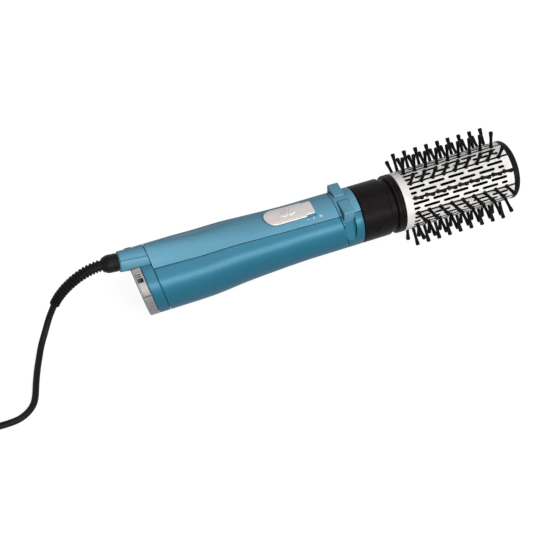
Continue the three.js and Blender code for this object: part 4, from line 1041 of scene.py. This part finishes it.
def makeAirCollar():
    s = collarSettings
    radius, inner, edge, front = s["radius"], s["radius"] - s["wall"], s["edge"], s["frontX"]
    spigot, seat, web = s["spigotRadius"], s["seatRadius"], gap + s["webThickness"]
    collar = turned("airCollar", [
        (-s["spigotLength"], seat), (-s["spigotLength"], spigot), (gap, spigot), (gap, radius - edge),
        (gap + edge, radius), (front - edge, radius), (front, radius - edge),
        (front, inner), (web, inner), (web, seat),
    ], "satinBlackAbs", 128, 0.5)
    arrow, oval = arrowOutline(), roundOutline(0, 0, s["ovalHalfLength"], s["ovalHalfWidth"], 32)
    arrows = [(s["arrowX"], radians(s["arrowAngle"] + turn), arrow) for turn in (0, 180)]
    ovals = [(s["ovalX"], radians(s["ovalAngle"] + turn), oval) for turn in (0, 180)]
    low, high = -s["markDepth"], s["arrowHeight"]
    combine(collar, [skinPatches("arrow", [patch], radius, low, high) for patch in arrows], "UNION")
    return combine(collar, [skinPatches("oval", [patch], radius, low, 2.0) for patch in ovals])


def makeBaseRing():
    b = brushSettings
    rear, front, radius = collarSettings["frontX"] + b["groove"], b["baseFront"], b["baseRadius"]
    neck, neckInner, shoulder = b["neckRadius"], b["neckInner"], b["rearRadius"] - b["wall"] - gap
    neckRear, shoulderFront = rear - b["neckLength"], front + b["shoulderLength"]
    middle, low = (rear + front) / 2, radius - 0.35
    ring = turned("brushBaseRing", [
        (neckRear, neckInner), (neckRear, neck), (rear, neck), (rear, radius - 0.5), (rear + 0.5, radius),
        (middle - 0.5, radius), (middle - 0.3, low), (middle + 0.3, low), (middle + 0.5, radius),
        (front - 0.4, radius), (front, radius - 0.4), (front, shoulder),
        (shoulderFront, shoulder), (shoulderFront, shoulder - 1.2), (front, neckInner),
    ], "satinBlackAbs", 128, 0.35)
    patch = (b["nubX"], radians(b["nubAngle"]), rectangle(-1.6, 0.6, -0.9, 0.9))
    nub = skinPatches("nub", [patch], radius, -0.6, 0.9)
    return combine(ring, [roundEdges(nub, 0.3, 40)], "UNION")


def stadium(x0, x1, half, steps=8):
    ends = [(x1 - half, -half, t) for t in spread(0, pi, steps)]
    ends += [(x0 + half, half, t) for t in spread(0, pi, steps)]
    return [(x - side * sin(t), side * cos(t)) for x, side, t in ends]


def slitOutline():
    # a narrow slit with a round opening at each bristle, left open at the tip of the barrel
    b = brushSettings
    half, radius = b["slitWidth"] / 2, b["bossRadius"] + 0.15
    mouth = asin(half / radius)
    upper = [(b["slitStart"], half)]
    for place in range(b["bristlesPerRow"]):
        x = b["firstX"] + place * b["pitch"]
        for t in spread(pi - mouth, mouth, 12):
            upper.append((x + radius * cos(t), radius * sin(t)))
    upper.append((b["front"] + 1, half))
    return [(x, -y) for x, y in reversed(upper)] + upper


def slotColumn(shift):
    # the slots of one column, the first and the last cut short where they pass the ends
    b = brushSettings
    outlines = []
    start = b["slotStart"] - shift
    while start < b["slotEnd"]:
        first, last = max(start, b["slotStart"]), min(start + b["slotLength"], b["slotEnd"])
        if last - first > b["shortestSlot"]:
            outlines.append(stadium(first, last, b["slotWidth"] / 2))
        start += b["slotPitch"]
    return outlines


def rowTurn(row):
    return (row + 0.5) * 2 * pi / brushSettings["rows"]


def makeBarrel():
    b = brushSettings
    rear, front, wall = b["baseFront"] + gap, b["front"], b["wall"]
    barrel = turned("brushBarrel", [
        (rear, b["rearRadius"] - wall), (rear, b["rearRadius"]),
        (front, b["radius"]), (front, b["radius"] - wall),
    ], "anodisedBarrel", 144, 0.12)
    outlines = []
    for row in range(b["rows"]):
        outlines.append((slitOutline(), rowTurn(row)))
        for column, shift in ((1, 0), (2, b["slotPitch"] / 2)):
            outlines += [(outline, rowTurn(row + column / 3)) for outline in slotColumn(shift)]
    inner, outer = b["radius"] - b["cutInside"], b["radius"] + b["cutOutside"]
    combine(barrel, [standing("slots", outlines, inner, outer)])
    # the inner skin and the walls of the slots get a matt near-black of painted shade, so they read as dark
    # openings
    barrel.data.materials.append(bpy.data.materials["darkCoating"])
    for face in barrel.data.polygons:
        local = toolInverse @ face.center
        outward = toolFrame @ Vector((0, local.y, local.z)).normalized()
        onSkin = hypot(local.y, local.z) > b["radius"] - 0.15
        if face.normal @ outward < 0.5 and not onSkin and b["slitStart"] - 1 < local.x < front - 0.1:
            face.material_index = 1
    return barrel


def makeShadeSleeve():
    # painted shade: a near-black sleeve that keeps daylight out of slots that face each other
    b = brushSettings
    outer, inner = b["screenRadius"], b["screenRadius"] - b["screenWall"]
    return turned("shadeSleeve", [
        (b["screenRear"], inner), (b["screenRear"], outer),
        (b["screenFront"], outer), (b["screenFront"], inner),
    ], "darkCoating", 64, 0.1)


def bristleProfile():
    b = brushSettings
    skin, tip, boss = b["radius"], b["tipRadius"], b["bossRadius"]
    r0, r1 = b["bristleRadius"], b["bristleEndRadius"]
    return [
        (skin - 0.35, boss), (skin - 0.05, boss - 0.15), (skin + 0.1, boss - 0.45), (skin + 0.9, r0 + 0.16),
        (skin + 2.5, r0), (mix(skin, tip, 0.6), r0), (tip - 2.2, r1 - 0.1), (tip - 0.9, r1),
        (tip - 0.25, r1 - 0.08), (tip, r1 - 0.4),
    ]


def makeBristleRow(row):
    # a strip under the skin, a rib that stands in the slit, and the bristles on it
    b = brushSettings
    top, sides, lean = b["rearRadius"] - b["wall"] - gap, 12, b["bristleLean"]
    rear, front = b["baseFront"] + b["shoulderLength"] + 0.4, b["front"] - b["capSpigot"] - 0.4
    profile = [(top - 0.2, b["bossRadius"])] + bristleProfile()
    points, faces = [], []
    for x0, half, z0, z1 in (
        (rear, b["stripWidth"] / 2, top - b["stripThickness"], top),
        (b["slitStart"] + 0.25, b["slitWidth"] / 2 - 0.1, top - 0.2, b["radius"] - 0.35),
    ):
        faces += pushedFaces(4, len(points))
        points += [(x, y, z) for z in (z0, z1) for x, y in rectangle(x0, front, -half, half)]
    for place in range(b["bristlesPerRow"]):
        x = b["firstX"] + place * b["pitch"]
        leanX, leanY = handRandom.uniform(-lean, lean), handRandom.uniform(-lean, lean)
        faces += loftFaces(len(profile), sides, len(points))
        for z, radius in profile:
            rise = max(0.0, z - b["radius"])
            outline = roundOutline(x + leanX * rise, leanY * rise, radius, radius, sides)
            points += [(u, v, z) for u, v in outline]
    points = [turnAboutX(point, rowTurn(row)) for point in points]
    return makeObject(f"bristleRow{row + 1:02d}", points, faces, "blackBristleNylon")


def makeEndCap():
    b = brushSettings
    end, front, radius = b["front"], b["front"] + b["capLength"], b["radius"]
    shoulder, spigotX, inner = radius - b["wall"] - gap, end - b["capSpigot"], front - b["capWall"]
    hub, hole = b["hubRadius"], b["shaftHole"]
    return turned("brushEndCap", [
        (front - 1.1, 0), (front - 1.1, 4.2), (front - 0.5, 4.8), (front - 0.08, 5.6), (front - 0.05, 7.5),
        (front - 0.3, radius * 0.68), (front - 0.75, radius * 0.72), (front - 0.5, radius * 0.77),
        (front - 0.6, radius - 2.6), (front - 0.95, radius - 1.5), (front - 1.6, radius - 0.5),
        (front - 2.5, radius), (end + gap, radius), (end + gap, shoulder), (spigotX, shoulder),
        (spigotX, shoulder - 1.5), (inner, shoulder - 1.5), (inner, hub), (end - 4, hub),
        (end - 4, hole), (end + 0.5, hole), (end + 0.5, 0),
    ], "satinBlackAbs", 128, 0.3)


handRandom = random.Random(7)
finishPiece(makeAirCollar(), "handle", "black_plastic", "air_collar")
finishPiece(makeBaseRing(), "brush", "black_plastic", "brush_base_ring")
finishPiece(makeBarrel(), "brush", "barrel_aluminium", "brush_barrel")
finishPiece(makeShadeSleeve(), "handle", "black_plastic")
for row in range(brushSettings["rows"]):
    finishPiece(makeBristleRow(row), "brush", "bristle_nylon", f"bristle_strip_{row + 1:02d}")
finishPiece(makeEndCap(), "brush", "black_plastic", "brush_end_cap")
print("brush made")


# The solids that keep their own shape get the finish of the real piece

nodeFinishes = {
    "turnedSteel": [
        "housing_screw", "drive_pinion", "drive_shaft", "gear_motor", "right_motor_screw",
        "left_motor_screw", "fan_motor", "fan_shaft", "thermal_cutout",
    ],
    "heatBluedSteel": ["nozzle_tube"],
    "sinteredBronze": ["output_gear", "rear_bush", "running_bush"],
    "darkGrillePlastic": ["intake_grille", "mode_switch", "right_direction_switch", "left_direction_switch"],
    "filterGauze": ["intake_filter"],
    "whiteHeatPlastic": ["gear_bracket", "fan_duct", "fan_impeller"],
    "pressedMica": ["heater_former"],
    "heatedWire": ["heater_coil"],
    "greenBoardResist": ["control_board"],
}
for finish, names in nodeFinishes.items():
    for name in names:
        materials = frame["nodes"][name].data.materials
        materials.clear()
        materials.append(bpy.data.materials[finish])
print("inner pieces finished")


# Studio: a white paper sweep, one wide lamp over the front, a long strip for the highlight, low fill

studioSettings = dict(
    floorSize=6.0, floorGlow=0.88, paper="#4c4c4c", seenPaper="#8a8a8a", worldLevel=0.12,
    aim=(0, 0, 0.03),
    # name, place, width, height and power
    lamps=[
        ("key", (0.3, -0.5, 1.25), 1.4, 1.0, 9.4),
        ("strip", (0.08, -1.04, 0.46), 1.4, 0.26, 12.0),
        ("fill", (0.5, 0.8, 0.9), 1.2, 0.8, 1.5),
    ],
)


def seenDirectly(tree):
    # 1 for what the camera sees straight, mirrored or through a piece, 0 for what only lights the scene
    rays = addNode(tree, "ShaderNodeLightPath")
    seen = (rays, "Is Camera Ray")
    for ray in ("Is Glossy Ray", "Is Transmission Ray"):
        seen = (addNode(tree, "ShaderNodeMath", {0: seen, 1: (rays, ray)}, operation="MAXIMUM"), "Value")
    return seen


def makeFloor():
    s = studioSettings
    half = s["floorSize"] / 2
    mesh = bpy.data.meshes.new("paperSweep")
    mesh.from_pydata([(x, y, 0) for x, y in rectangle(-half, half, -half, half)], [], [(0, 1, 2, 3)])
    material = bpy.data.materials.new("whitePaper")
    material.use_nodes = True
    tree = material.node_tree
    tree.nodes.clear()
    seen = seenDirectly(tree)
    paper = addNode(tree, "ShaderNodeBsdfDiffuse", {"Color": linearColour(s["paper"])})
    seenPaper = addNode(tree, "ShaderNodeBsdfDiffuse", {"Color": linearColour(s["seenPaper"])})
    glow = addNode(tree, "ShaderNodeEmission", {"Color": (1, 1, 1, 1), "Strength": s["floorGlow"]})
    bright = addNode(tree, "ShaderNodeAddShader", {0: (seenPaper, "BSDF"), 1: (glow, "Emission")})
    both = addNode(tree, "ShaderNodeMixShader", {0: seen, 1: (paper, "BSDF"), 2: (bright, "Shader")})
    addNode(tree, "ShaderNodeOutputMaterial", {"Surface": (both, "Shader")})
    mesh.materials.append(material)
    addObject("paperSweep", mesh)


def makeWorld():
    world = bpy.data.worlds.new("studio")
    world.use_nodes = True
    tree = world.node_tree
    tree.nodes.clear()
    level = addNode(tree, "ShaderNodeMapRange", {
        "Value": seenDirectly(tree), "To Min": studioSettings["worldLevel"], "To Max": 1.0,
    })
    sky = addNode(tree, "ShaderNodeBackground", {"Color": (1, 1, 1, 1), "Strength": (level, "Result")})
    addNode(tree, "ShaderNodeOutputWorld", {"Surface": (sky, "Background")})
    bpy.context.scene.world = world


makeFloor()
makeWorld()
for name, place, width, height, power in studioSettings["lamps"]:
    lampData = bpy.data.lights.new(name, "AREA")
    lampData.shape = "RECTANGLE"
    lampData.size, lampData.size_y, lampData.energy = width, height, power
    pointAlong(addObject(name, lampData), place, Vector(studioSettings["aim"]) - Vector(place))
print("studio made")
